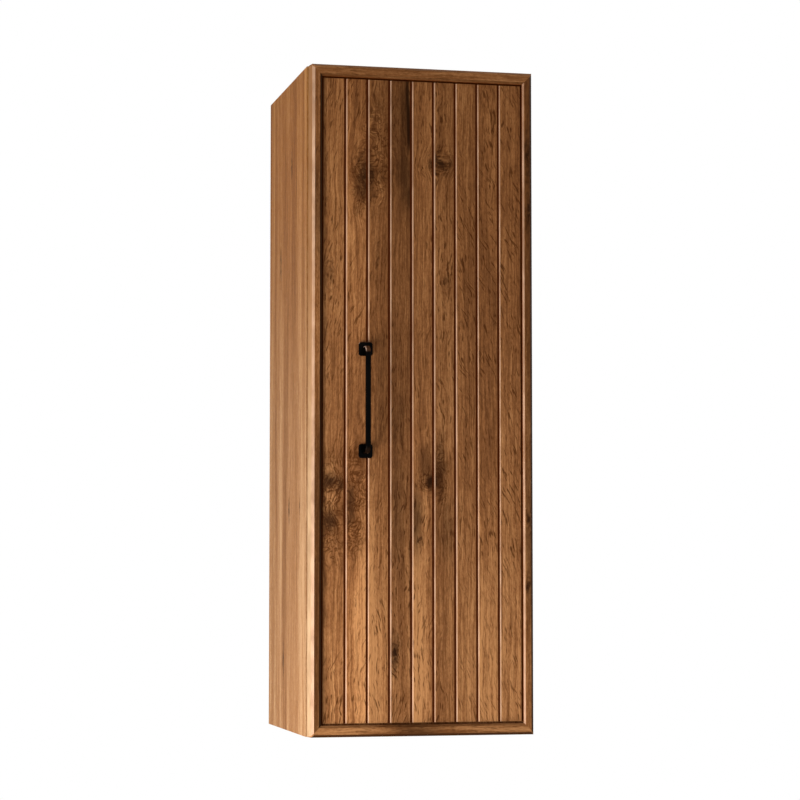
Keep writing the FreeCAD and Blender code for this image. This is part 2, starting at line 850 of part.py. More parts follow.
def sink_holes(body, feature, sink, level, axis):
    """Countersink a plate's screw holes on the face at a level along an axis."""
    def is_hole_rim(edge):
        """Pick the round edges on that face."""
        if not isinstance(edge.Curve, Part.Circle):
            return False
        return edge.Closed and abs(edge.Vertexes[0].Point.dot(axis) - level.value) < 1e-6

    names = [f"Edge{i}" for i, edge in enumerate(feature.Shape.Edges, start=1) if is_hole_rim(edge)]
    chamfer = body.newObject("PartDesign::Chamfer", f"{body.Name}_countersinks")
    chamfer.Base = (feature, names)
    chamfer.setExpression("Size", sink.text)
    doc.recompute()


def make_handle_screws():
    """Two machine screws from the inside of the door into the handle's feet."""
    solids = []
    for x, z in handle_points():
        start = point_of(x, door_back, z)
        length = panel_thick + dim["handle_screw_grip"]
        head = dim["handle_head_dia"] / 2
        radius = dim["handle_screw_dia"] / 2
        solids.append(pan_screw(start, Vector(0, -1, 0), radius, length, head, dim["handle_head_thick"]))
    add_shape("handle_screws", solids)


def make_pivot_plate(name, end):
    """Plate let into the carcass, with an arm into the door's corner recess that holds the pin."""
    body = add_body(name)
    arm_left = pivot_x - dim["plate_arm"] / 2
    arm_right = pivot_x + dim["plate_arm"] / 2
    outline = add_sketch(body, "XY_Plane", end * plate_under)
    add_outline(
        outline,
        [
            (plate_left, plate_rear),
            (plate_left, carcass_front),
            (arm_left, carcass_front),
            (arm_left, pivot_y - dim["plate_arm"] / 2),
            (arm_right, pivot_y - dim["plate_arm"] / 2),
            (arm_right, carcass_front),
            (plate_right, carcass_front),
            (plate_right, plate_rear),
        ],
    )
    pad = add_pad(body, outline, dim["plate_thick"], flipped=end < 0)
    tip = pivot_y.value - dim["plate_arm"].value / 2
    add_fillet(
        body,
        pad,
        dim["plate_tip"],
        lambda edge: is_along(edge, Vector(0, 0, 1)) and abs(edge.Vertexes[0].Y - tip) < 1e-6,
    )
    screws = add_sketch(body, "XY_Plane")
    add_circles(screws, plate_screw_points(), dim["plate_screw_dia"] / 2 + dim["screw_play"])
    drilled = add_pocket(body, screws)
    sink_holes(body, drilled, plate_sink, end * plate_top, Vector(0, 0, 1))
    pin = add_sketch(body, "XY_Plane")
    add_circles(pin, [(pivot_x, pivot_y)], dim["pivot_dia"] / 2)
    add_pocket(body, pin)


def make_pivot_pins():
    """Two pins, riveted flush in the plates and standing into the door's bushes."""
    solids = []
    for end in (1, -1):
        start = point_of(pivot_x, pivot_y, end * plate_top)
        length = dim["plate_thick"] + dim["pivot_length"]
        solids.append(rod(start, Vector(0, 0, -end), dim["pivot_dia"] / 2, length))
    add_shape("pivot_pins", solids)


def make_pivot_bush(name, end):
    """Sleeve pressed into the floor of the door's corner recess."""
    body = add_body(name)
    ring = add_sketch(body, "XY_Plane", end * arm_floor)
    add_circles(ring, [(pivot_x, pivot_y)], dim["bush_dia"] / 2)
    add_pad(body, ring, dim["bush_length"], flipped=end > 0)
    bore = add_sketch(body, "XY_Plane", end * arm_floor)
    add_circles(bore, [(pivot_x, pivot_y)], dim["pivot_dia"] / 2 + dim["pivot_play"])
    depth = dim["pivot_length"] - dim["arm_gap"] + dim["pivot_end_play"]
    add_pocket(body, bore, depth, flipped=end < 0)


def make_plate_screws():
    """Countersunk screws that hold the pivot plates down."""
    solids = []
    for end in (1, -1):
        for x, y in plate_screw_points():
            start = point_of(x, y, end * plate_top)
            radius = dim["plate_screw_dia"] / 2
            length = dim["plate_screw_length"]
            solids.append(sunk_screw(start, Vector(0, 0, -end), radius, length, plate_sink))
    add_shape("pivot_plate_screws", solids)


def catch_front():
    """Give the depth of the catch housing's front face, behind the strike plate."""
    return door_back + dim["strike_thick"] + dim["strike_play"] + dim["magnet_proud"]


def catch_screw_points():
    """List the catch housing's screws on the side board, as depth and height."""
    reach = dim["catch_length"] / 2 + dim["catch_ear"] / 2
    middle = catch_front() + dim["catch_depth"] / 2
    return [(middle, reach), (middle, -reach)]


def make_catch_housing():
    """Moulded catch body with two screw ears and a pocket for the magnet."""
    body = add_body("catch_housing")
    front = catch_front()
    back = front + dim["catch_depth"]
    half = dim["catch_length"] / 2
    ears = half + dim["catch_ear"]
    base = add_sketch(body, "YZ_Plane", -inside_half_width)
    add_rectangle(base, front, back, -ears, ears)
    pad = add_pad(body, base, dim["catch_wall"])
    add_fillet(body, pad, dim["catch_wall"], lambda edge: is_along(edge, Vector(1, 0, 0)))
    block = add_sketch(body, "YZ_Plane", -inside_half_width)
    add_rectangle(block, front, back, -half, half)
    add_pad(body, block, dim["catch_thick"])
    pocket = add_sketch(body, "XZ_Plane", -front)
    inner = dim["catch_wall"] - inside_half_width
    outer = dim["catch_thick"] - dim["catch_wall"] - inside_half_width
    tall = dim["magnet_length"] / 2
    add_rectangle(pocket, inner, outer, -tall, tall)
    add_pocket(body, pocket, dim["catch_depth"] - dim["catch_wall"])
    holes = add_sketch(body, "YZ_Plane", -inside_half_width)
    add_circles(holes, catch_screw_points(), dim["catch_screw_dia"] / 2 + dim["screw_play"])
    add_pocket(body, holes)


def make_catch_magnet():
    """Magnet block that fills the housing's pocket and stands just proud of it."""
    body = add_body("catch_magnet")
    play = dim["magnet_play"]
    inner = dim["catch_wall"] - inside_half_width + play
    outer = dim["catch_thick"] - dim["catch_wall"] - inside_half_width - play
    tall = dim["magnet_length"] / 2 - play
    rear = catch_front() + dim["catch_depth"] - dim["catch_wall"]
    outline = add_sketch(body, "XZ_Plane", -rear)
    add_rectangle(outline, inner, outer, -tall, tall)
    add_pad(body, outline, dim["catch_depth"] - dim["catch_wall"] + dim["magnet_proud"])


def small_screw(start, inward, dia, length):
    """Make a small screw whose head stands on the face at its start."""
    head = dia * dim["small_head_ratio"] / 2
    return pan_screw(start, inward, dia / 2, length, head, dim["small_head_thick"])


def make_catch_screws():
    """Two screws through the catch's ears into the side board."""
    solids = []
    for y, z in catch_screw_points():
        start = point_of(dim["catch_wall"] - inside_half_width, y, z)
        length = dim["catch_screw_length"]
        solids.append(small_screw(start, Vector(-1, 0, 0), dim["catch_screw_dia"], length))
    add_shape("catch_screws", solids)


def drill_catch_screws(body):
    """Drill the side board for the catch's screws."""
    holes = add_sketch(body, "YZ_Plane", -inside_half_width)
    add_circles(holes, catch_screw_points(), dim["catch_screw_dia"] / 2 + dim["screw_play"])
    add_pocket(body, holes, dim["catch_screw_length"] - dim["catch_wall"] + dim["screw_end_play"])


def make_strike_plate():
    """Steel plate on the back of the door that the magnet holds."""
    body = add_body("catch_strike_plate")
    outline = add_sketch(body, "XZ_Plane", -door_back)
    half_wide = dim["strike_width"] / 2
    half_tall = dim["strike_length"] / 2
    add_rectangle(outline, strike_x() - half_wide, strike_x() + half_wide, -half_tall, half_tall)
    pad = add_pad(body, outline, dim["strike_thick"], flipped=True)
    add_fillet(body, pad, dim["strike_thick"], lambda edge: is_along(edge, Vector(0, 1, 0)))
    holes = add_sketch(body, "XZ_Plane")
    add_circles(holes, strike_screw_points(), dim["strike_screw_dia"] / 2 + dim["screw_play"])
    drilled = add_pocket(body, holes)
    sink_holes(body, drilled, strike_sink, door_back + dim["strike_thick"], Vector(0, 1, 0))


def make_strike_screws():
    """Two short countersunk screws that hold the strike plate, flush under the magnet."""
    solids = []
    for x, z in strike_screw_points():
        start = point_of(x, door_back + dim["strike_thick"], z)
        radius = dim["strike_screw_dia"] / 2
        length = dim["strike_thick"] + dim["strike_screw_length"]
        solids.append(sunk_screw(start, Vector(0, -1, 0), radius, length, strike_sink))
    add_shape("strike_screws", solids)


def make_door_bumpers():
    """Two soft domed dots on the back of the closing stile."""
    solids = []
    for end in (1, -1):
        x = half_width - dim["board"] / 2
        start = point_of(-x, door_back, end * (half_height - dim["bumper_edge"]))
        tall = (dim["door_gap"] - dim["bumper_play"]).value
        wide = dim["bumper_dia"].value / 2
        solids.append(Part.makeCone(wide, wide - tall / 2, tall, start, Vector(0, 1, 0)))
    add_shape("door_bumpers", solids)


left_side = make_side_panel("side_panel_left", -1)
drill_catch_screws(left_side)
right_side = make_side_panel("side_panel_right", 1)
for end in (1, -1):
    let_in_plate(right_side, end, plate_screw_points()[:2])
make_flat_board("top_panel", 1)
make_flat_board("bottom_panel", -1)
make_back_panel()
make_hanging_rail("hanging_rail_upper", 1)
make_hanging_rail("hanging_rail_lower", -1)
for number, name in enumerate(SHELVES):
    make_shelf(name, number)
make_shelf_pins()
make_carcass_dowels()
make_pivot_plate("pivot_plate_top", 1)
make_pivot_plate("pivot_plate_bottom", -1)
make_pivot_pins()
make_plate_screws()
make_catch_housing()
make_catch_magnet()
make_catch_screws()
make_door_stile("door_stile_left", -1)
hinge_stile = make_door_stile("door_stile_right", 1)
for end in (1, -1):
    cut_hinge_corner(hinge_stile, end)
make_door_rail("door_rail_top", 1)
make_door_rail("door_rail_bottom", -1)
make_door_panel()
make_pivot_bush("pivot_bush_top", 1)
make_pivot_bush("pivot_bush_bottom", -1)
make_strike_plate()
make_strike_screws()
make_handle_bar()
make_handle_rose("handle_rose_upper", 1)
make_handle_rose("handle_rose_lower", -1)
make_handle_screws()
make_door_bumpers()

doc.recompute()
for item in doc.Objects:
    if "Invalid" in item.State or "Error" in item.State:
        raise RuntimeError(f"{item.Label} failed: {item.State}")
for node in nodes:
    if node.Shape.isNull() or not node.Shape.isValid():
        raise RuntimeError(f"{node.Label} has no valid shape")

os.makedirs("parts", exist_ok=True)
for node in nodes:
    node.Shape.exportStep(f"parts/{node.Label}.step")
    box = node.Shape.BoundBox
    extents = " x ".join(f"{length:.1f}" for length in (box.XLength, box.YLength, box.ZLength))
    print(f"{node.Label}: {len(node.Shape.Solids)} solids, {extents}")
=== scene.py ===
import logging
import math
from dataclasses import asdict, dataclass, fields, replace
from enum import Enum
from typing import Any, Mapping, Optional, Protocol, Sequence, Union

import bpy
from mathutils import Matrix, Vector


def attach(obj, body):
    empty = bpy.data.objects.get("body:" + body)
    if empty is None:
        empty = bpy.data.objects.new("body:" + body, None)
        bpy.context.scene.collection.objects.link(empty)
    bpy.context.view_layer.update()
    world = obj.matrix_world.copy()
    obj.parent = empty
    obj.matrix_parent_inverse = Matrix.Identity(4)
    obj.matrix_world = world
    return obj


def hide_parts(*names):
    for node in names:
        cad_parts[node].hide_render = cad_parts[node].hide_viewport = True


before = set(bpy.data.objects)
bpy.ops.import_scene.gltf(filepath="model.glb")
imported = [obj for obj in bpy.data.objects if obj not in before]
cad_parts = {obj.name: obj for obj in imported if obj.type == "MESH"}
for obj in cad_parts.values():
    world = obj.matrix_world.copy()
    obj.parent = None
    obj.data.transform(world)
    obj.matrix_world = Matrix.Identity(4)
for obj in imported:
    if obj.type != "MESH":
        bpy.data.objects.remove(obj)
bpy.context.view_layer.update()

LOG = logging.getLogger("cabinet")

Colour = tuple[float, float, float]
Point = tuple[float, float, float]
Feed = Union["Value", float, int, str, Sequence[float]]
Key = Union[str, int]
Settings = Mapping[str, Any]
Sockets = Mapping[Key, Feed]


class Body(Enum):
    """The two rigid bodies of the cabinet."""

    CARCASS = "carcass"
    DOOR = "door"


class GrainWay(Enum):
    """Which row axes run across, into and along a board."""

    DOOR_UPRIGHT = "XYZ"
    DOOR_LEVEL = "ZYX"
    SIDE_UPRIGHT = "YXZ"
    BOARD_LEVEL = "YZX"


class Blend(Enum):
    """Ways of blending two colours."""

    COVER = "MIX"
    MULTIPLY = "MULTIPLY"


class Value:
    """A node's output that adds a Math node for each operator used on it."""

    def __init__(self, board: "NodeBoard", socket: bpy.types.NodeSocket) -> None:
        """Keep the board and the socket."""
        self.board = board
        self.socket = socket

    def _math(self, operation: str, other: Feed = 0.0, swapped: bool = False) -> "Value":
        """Join this value and another by a Math node.

        Args:
            operation: The Math node's operation.
            other: The second operand, or the first one when swapped.
            swapped: Whether the operands change places.

        Returns:
            The result.
        """
        first, second = (other, self) if swapped else (self, other)
        return self.board.make("ShaderNodeMath", {"operation": operation}, {0: first, 1: second})

    def __add__(self, other: Feed) -> "Value":
        """Add."""
        return self._math("ADD", other)

    def __radd__(self, other: Feed) -> "Value":
        """Add, reflected."""
        return self._math("ADD", other)

    def __sub__(self, other: Feed) -> "Value":
        """Subtract."""
        return self._math("SUBTRACT", other)

    def __rsub__(self, other: Feed) -> "Value":
        """Subtract, reflected."""
        return self._math("SUBTRACT", other, swapped=True)

    def __mul__(self, other: Feed) -> "Value":
        """Multiply."""
        return self._math("MULTIPLY", other)

    def __rmul__(self, other: Feed) -> "Value":
        """Multiply, reflected."""
        return self._math("MULTIPLY", other)

    def __truediv__(self, other: Feed) -> "Value":
        """Divide."""
        return self._math("DIVIDE", other)

    def __rtruediv__(self, other: Feed) -> "Value":
        """Divide, reflected."""
        return self._math("DIVIDE", other, swapped=True)

    def __pow__(self, other: Feed) -> "Value":
        """Raise to a power."""
        return self._math("POWER", other)

    def __abs__(self) -> "Value":
        """Take the absolute value."""
        return self._math("ABSOLUTE")

    def least(self, other: Feed) -> "Value":
        """Take the smaller of two values."""
        return self._math("MINIMUM", other)

    def most(self, other: Feed) -> "Value":
        """Take the larger of two values."""
        return self._math("MAXIMUM", other)

    def wave(self) -> "Value":
        """Swing between 0 and 1, once for each whole step of the value."""
        return (self * (2.0 * math.pi))._math("SINE") * 0.5 + 0.5

    def step(self, low: float, high: float) -> "Value":
        """Rise smoothly from 0 at low to 1 at high, or fall where low is the larger.

        Args:
            low: Where the result is 0.
            high: Where the result is 1.

        Returns:
            A value from 0 to 1.
        """
        ends: dict[Key, Feed] = {"From Min": low, "From Max": high, "To Min": 0.0, "To Max": 1.0}
        if low > high:
            ends = {"From Min": high, "From Max": low, "To Min": 1.0, "To Max": 0.0}
        ends["Value"] = self
        return self.board.make("ShaderNodeMapRange", {"interpolation_type": "SMOOTHSTEP"}, ends)

    def past(self, mark: float, soft: float) -> "Value":
        """Rise smoothly from 0 to 1 about a mark, within a softness to each side."""
        return self.step(mark - soft, mark + soft)

    def part(self, output: Key) -> "Value":
        """Take another output of the same node."""
        return Value(self.board, self.socket.node.outputs[output])


class NodeBoard:
    """A node tree and the one method that adds nodes to it."""

    def __init__(self, tree: bpy.types.NodeTree) -> None:
        """Take a tree over and clear it."""
        self.tree = tree
        self.tree.nodes.clear()

    def add(self, kind: str, settings: Settings, sockets: Sockets) -> bpy.types.Node:
        """Add a node.

        Args:
            kind: The node's type.
            settings: Its properties, set first.
            sockets: Values or links of its inputs, by name or number.

        Returns:
            The node.
        """
        node = self.tree.nodes.new(kind)
        for name, setting in settings.items():
            setattr(node, name, setting)
        for key, feed in sockets.items():
            self.feed(node.inputs[key], feed)
        return node

    def make(self, kind: str, settings: Settings, sockets: Sockets, output: Key = 0) -> Value:
        """Add a node and give one of its outputs.

        Args:
            kind: The node's type.
            settings: Its properties, set first.
            sockets: Values or links of its inputs, by name or number.
            output: The output to give.

        Returns:
            That output.
        """
        return Value(self, self.add(kind, settings, sockets).outputs[output])

    def feed(self, socket: bpy.types.NodeSocket, feed: Feed) -> None:
        """Link a value to a socket, or set the socket's own number, vector or colour.

        Args:
            socket: The input socket.
            feed: The value to link, or what to set.
        """
        if isinstance(feed, Value):
            self.tree.links.new(feed.socket, socket)
        elif socket.type == "RGBA" and len(feed) == 3:
            socket.default_value = (*feed, 1.0)
        else:
            socket.default_value = feed

    def join(self, *parts: Feed) -> Value:
        """Make a vector of three values."""
        return self.make("ShaderNodeCombineXYZ", {}, dict(enumerate(parts)))


class Surface(NodeBoard):
    """One material's nodes, with a Principled shader at their end."""

    def __init__(self, name: str) -> None:
        """Start a material with a plain shader.

        Args:
            name: The material's name.
        """
        self.material = bpy.data.materials.new(name)
        self.material.use_nodes = True
        super().__init__(self.material.node_tree)
        self.shader = self.add("ShaderNodeBsdfPrincipled", {}, {})
        self.add("ShaderNodeOutputMaterial", {}, {0: Value(self, self.shader.outputs[0])})

    def set(self, **inputs: Feed) -> None:
        """Feed the shader's inputs, with the spaces in their names written as underscores."""
        for name, feed in inputs.items():
            self.feed(self.shader.inputs[name.replace("_", " ")], feed)

    def place(self) -> Value:
        """Give the surface's own coordinates."""
        return self.make("ShaderNodeTexCoord", {}, {}, "Object")

    def facing(self) -> Value:
        """Give the way the surface faces, in its own axes."""
        return self.make("ShaderNodeTexCoord", {}, {}, "Normal")

    def split(self, vector: Value) -> list[Value]:
        """Give the three parts of a vector."""
        first = self.make("ShaderNodeSeparateXYZ", {}, {0: vector})
        return [first, first.part(1), first.part(2)]

    def vector(self, operation: str, first: Feed, second: Feed, output: Key = 0) -> Value:
        """Join two vectors by a Vector Math node."""
        return self.make("ShaderNodeVectorMath", {"operation": operation}, {0: first, 1: second}, output)

    def noise(self, vector: Value, scale: Point, detail: float = 2.0, rough: float = 0.5) -> Value:
        """Give a noise of about 0.5 over coordinates that are scaled first.

        Args:
            vector: The coordinates, in metres.
            scale: Cycles per metre along each of them.
            detail: Octaves of finer noise.
            rough: How much the octaves weigh.

        Returns:
            The noise.
        """
        scaled = self.vector("MULTIPLY", vector, scale)
        sockets = {"Vector": scaled, "Scale": 1.0, "Detail": detail, "Roughness": rough}
        return self.make("ShaderNodeTexNoise", {}, sockets)

    def mix(self, factor: Feed, first: Feed, second: Feed, blend: Blend = Blend.COVER) -> Value:
        """Blend two colours.

        Args:
            factor: How much of the second.
            first: The first colour.
            second: The second colour.
            blend: The way of blending.

        Returns:
            The blended colour.
        """
        settings = {"data_type": "RGBA", "blend_type": blend.value, "clamp_factor": True}
        return self.make("ShaderNodeMix", settings, {0: factor, 6: first, 7: second}, 2)

    def ramp(self, factor: Value, stops: Sequence[tuple[float, Colour]], stepped: bool = False) -> Value:
        """Colour a value by a ramp.

        Args:
            factor: The value.
            stops: Pairs of place and colour, in order.
            stepped: Whether the colours change at once instead of gradually.

        Returns:
            The colour.
        """
        value = self.make("ShaderNodeValToRGB", {}, {0: factor})
        ramp = value.socket.node.color_ramp
        ramp.interpolation = "CONSTANT" if stepped else "LINEAR"
        while len(ramp.elements) < len(stops):
            ramp.elements.new(0.5)
        for element, (place, colour) in zip(ramp.elements, stops):
            element.position = place
            element.color = (*colour, 1.0)
        return value

    def bump(self, height: Value, strength: float, distance: float) -> None:
        """Give the shader a bump of that strength and depth in metres."""
        sockets = {"Strength": strength, "Distance": distance, "Height": height}
        self.set(Normal=self.make("ShaderNodeBump", {}, sockets))


class Finish(Protocol):
    """Anything that makes a material."""

    def material(self) -> bpy.types.Material:
        """Build the material."""


@dataclass(frozen=True)
class Spot:
    """An oval place on a board: its middle and half sizes across and along, in metres."""

    across: float
    along: float
    half_wide: float
    half_long: float
    depth: float = 0.5


@dataclass(frozen=True)
class Marks:
    """A board's marks, among them painted light and painted shade, how dark its knots' rings and hearts are,
    and how its burls are drawn.
    """

    knots: tuple[Spot, ...] = ()
    eyes: tuple[Spot, ...] = ()
    burls: tuple[Spot, ...] = ()
    # Dark spots: staining in the wood, and painted shade, such as the shadow of the left stile on the panel.
    stains_and_shade: tuple[Spot, ...] = ()
    streaks: tuple[Spot, ...] = ()
    # Pale spots: paler wood, and painted light where a board is painted paler toward its lower end.
    pale: tuple[Spot, ...] = ()
    knot_depths: tuple[float, float] = (0.5, 0.86)
    eye_depths: tuple[float, float] = (0.38, 0.35)
    ring_rate: float = 1.27
    ring_break: float = 2.23
    burl_pitch: float = 0.0034
    burl_sway: float = 1.2
    burl_fray: float = 0.5
    burl_flow: float = 0.40
    curl_turns: float = 5.0
    curl_fray: float = 0.3
    burl_curl: float = 0.80
    burl_cloud: float = 0.40


@dataclass(frozen=True)
class Figure:
    """How strongly bands, streaks, year lines, pores and short pore marks show, and where the marks lean."""

    band: float = 22.0
    band_along: float = 1.3
    band_gain: float = 0.36
    streak_gain: float = 0.26
    grit_gain: float = 0.8
    pale_gain: float = 0.7
    pale_streak: float = 1.2
    line_pitch: float = 0.0075
    line_slope: float = 0.6
    line_sway: float = 5.0
    line_gain: float = 0.25
    pore_gain: float = 0.35
    dash_gain: float = 0.5
    dash_loose: float = 0.3
    dash_lean: float = 0.0
    lean_from: float = 0.0532
    left_lean: float = 0.0
    lean_until: float = -0.0886
    lean_soft: float = 0.0005


@dataclass(frozen=True)
class Wander:
    """How far the grain and the marks wander, in metres, and how strongly knots push the grain aside."""

    grain_drift: float = 0.022
    grain_ripple: float = 0.006
    knot_push: float = 0.6
    burl_flow: float = 0.045
    mark_across: float = 0.016
    mark_drift: float = 0.02
    mark_along: float = 0.03
    dash_sway: float = 0.05


@dataclass(frozen=True)
class Edges:
    """How slanted edges are rubbed pale, as wear and painted highlight; how painted shade darkens faces
    turned from the light and groove bottoms; how the outer edge faces are painted lighter toward the bottom;
    and how dark the shadow gap is painted.
    """

    # Pale rubbing of slanted faces: partly wear, partly painted highlight where the groove walls and the left
    # arris catch the light.
    rub: float = 0.0
    rub_from: float = -0.3600
    rub_soft: float = 0.0003
    outer_rub_and_highlight: float = 0.0
    outer_from: float = 0.170
    outer_soft: float = 0.001
    # Painted light: the door's outer edge faces are painted paler toward the bottom and darker toward the
    # top, following the fall of the light.
    outer_light_gradient: float = 0.0
    tone_low: float = -0.28
    tone_high: float = 0.25
    # Painted shade: slanted faces turned the given way, away from the light, and faces deep in the grooves
    # are darkened toward the given dark colour.
    painted_shade: float = 0.0
    outer_painted_shade: float = 0.0
    shade_facing: Point = (1.0, 0.0, 0.0)
    shaded_depth: float = 0.0
    shaded_depth_soft: float = 0.0002
    # Painted shade: how strongly the faces in the shadow gap between panel and frame are darkened, where the
    # gap lies, and how much paler the shade is at its bottom edge.
    gap: float = 0.0
    gap_soft: float = 0.0005
    gap_front: float = -0.3508
    gap_back: float = -0.343
    gap_fade: float = 0.002
    gap_low: float = -0.5040
    gap_low_share: float = 0.3
    # Colour of the rubbed faces: wear and painted highlight.
    rubbed: Colour = (0.7, 0.435, 0.28)
    # Painted shade at the top and painted light at the bottom of the outer edge faces.
    outer_top_shade: Colour = (0.375, 0.178, 0.072)
    outer_bottom_light: Colour = (0.58, 0.37, 0.205)
    # Colour of the painted shade on faces turned from the light and in the grooves.
    shade_colour: Colour = (0.036, 0.012, 0.003)
    # Colour of the painted shade in the shadow gap.
    gap_shade_colour: Colour = (0.15, 0.032, 0.003)


@dataclass(frozen=True)
class Planks:
    """The planks of a grooved panel: where the first starts, how wide they are and their tones."""

    start: float
    width: float
    tones: tuple[float, ...]


@dataclass(frozen=True)
class Sheen:
    """How the wood reflects: its level, its roughness and what pores and drawn streaks add to that."""

    specular: float = 0.01
    roughness: float = 0.46
    pores: float = 0.22
    drawn: float = 0.12


@dataclass(frozen=True)
class Relief:
    """How high or deep the wood's details are, with the bump's strength and its depth in metres."""

    drawn: float = 0.5
    pores: float = 0.6
    lines: float = 0.25
    dashes: float = 0.8
    strength: float = 0.35
    depth: float = 0.0004


class Falloff(Enum):
    """Where a mark ends and where it is full, in spot sizes."""

    GRAIN_PUSH = (3.0, 0.3)
    GRAIN_FLOW = (1.9, 0.3)
    BURL = (1.7, 0.5)
    PALE = (1.7, 0.0)
    DARK_SPOT = (1.4, 0.1)
    STREAK = (1.3, 0.3)
    RINGS = (2.4, 0.8)
    HEART = (1.2, 0.2)

    def of(self, distance: Value) -> Value:
        """Fade a mark with the distance from its middle."""
        return distance.step(*self.value)


class Weave(Enum):
    """Noises over wood: cycles per metre across and along the grain, octaves and their weight."""

    WAVER = (70.0, 40.0, 3.0, 0.65)
    DRIFT = (9.0, 2.2, 2.0, 0.5)
    RIPPLE = (38.0, 20.0, 2.0, 0.5)
    FLOW = (24.0, 18.0, 1.0, 0.5)
    STREAKS = (210.0, 5.0, 3.0, 0.6)
    FINE = (560.0, 26.0, 2.0, 0.5)
    GRIT = (420.0, 190.0, 3.0, 0.7)
    PORES = (1500.0, 55.0, 2.0, 0.5)
    DRAWN = (700.0, 14.0, 2.0, 0.5)
    UNEVEN = (30.0, 1.6, 2.0, 0.5)
    BROKEN = (160.0, 7.0, 2.0, 0.5)
    SWAY = (9.0, 9.0, 2.0, 0.5)
    DASHES = (470.0, 58.0, 1.0, 0.5)
    CLUSTERS = (16.0, 7.0, 2.0, 0.5)
    KNOT_FINE = (240.0, 110.0, 3.0, 0.65)
    KNOT_BROAD = (75.0, 50.0, 2.0, 0.5)
    BURL_CLOUDS = (55.0, 30.0, 3.0, 0.6)
    BURL_FINE = (300.0, 60.0, 2.0, 0.5)
    BURL_CURLS = (82.0, 74.0, 2.0, 0.5)
    WORN = (45.0, 22.0, 3.0, 0.5)


@dataclass(frozen=True)
class OakFinish:
    """Oiled oak: its colours, figure, marks, edges, sheen and relief."""

    name: str
    way: GrainWay
    dark: Colour
    middle: Colour
    light: Colour
    tone_stops: tuple[float, ...] = (0.2, 0.5, 0.8)
    vein: Colour = (0.072, 0.021, 0.0045)
    # Dark colour of knot hearts, streaks and dark spots, some of which are painted shade.
    heart: Colour = (0.024, 0.0082, 0.003)
    figure: Figure = Figure()
    wander: Wander = Wander()
    marks: Marks = Marks()
    edges: Edges = Edges()
    planks: Optional[Planks] = None
    # Painted shade: the upper end of the board is multiplied darker and warmer.
    warm_top_shade: Optional[Colour] = None
    warm_from: float = -0.15
    warm_full: float = 0.50
    sheen: Sheen = Sheen()
    relief: Relief = Relief()

    def material(self) -> bpy.types.Material:
        """Build the finish."""
        return OakPainter(self).paint()


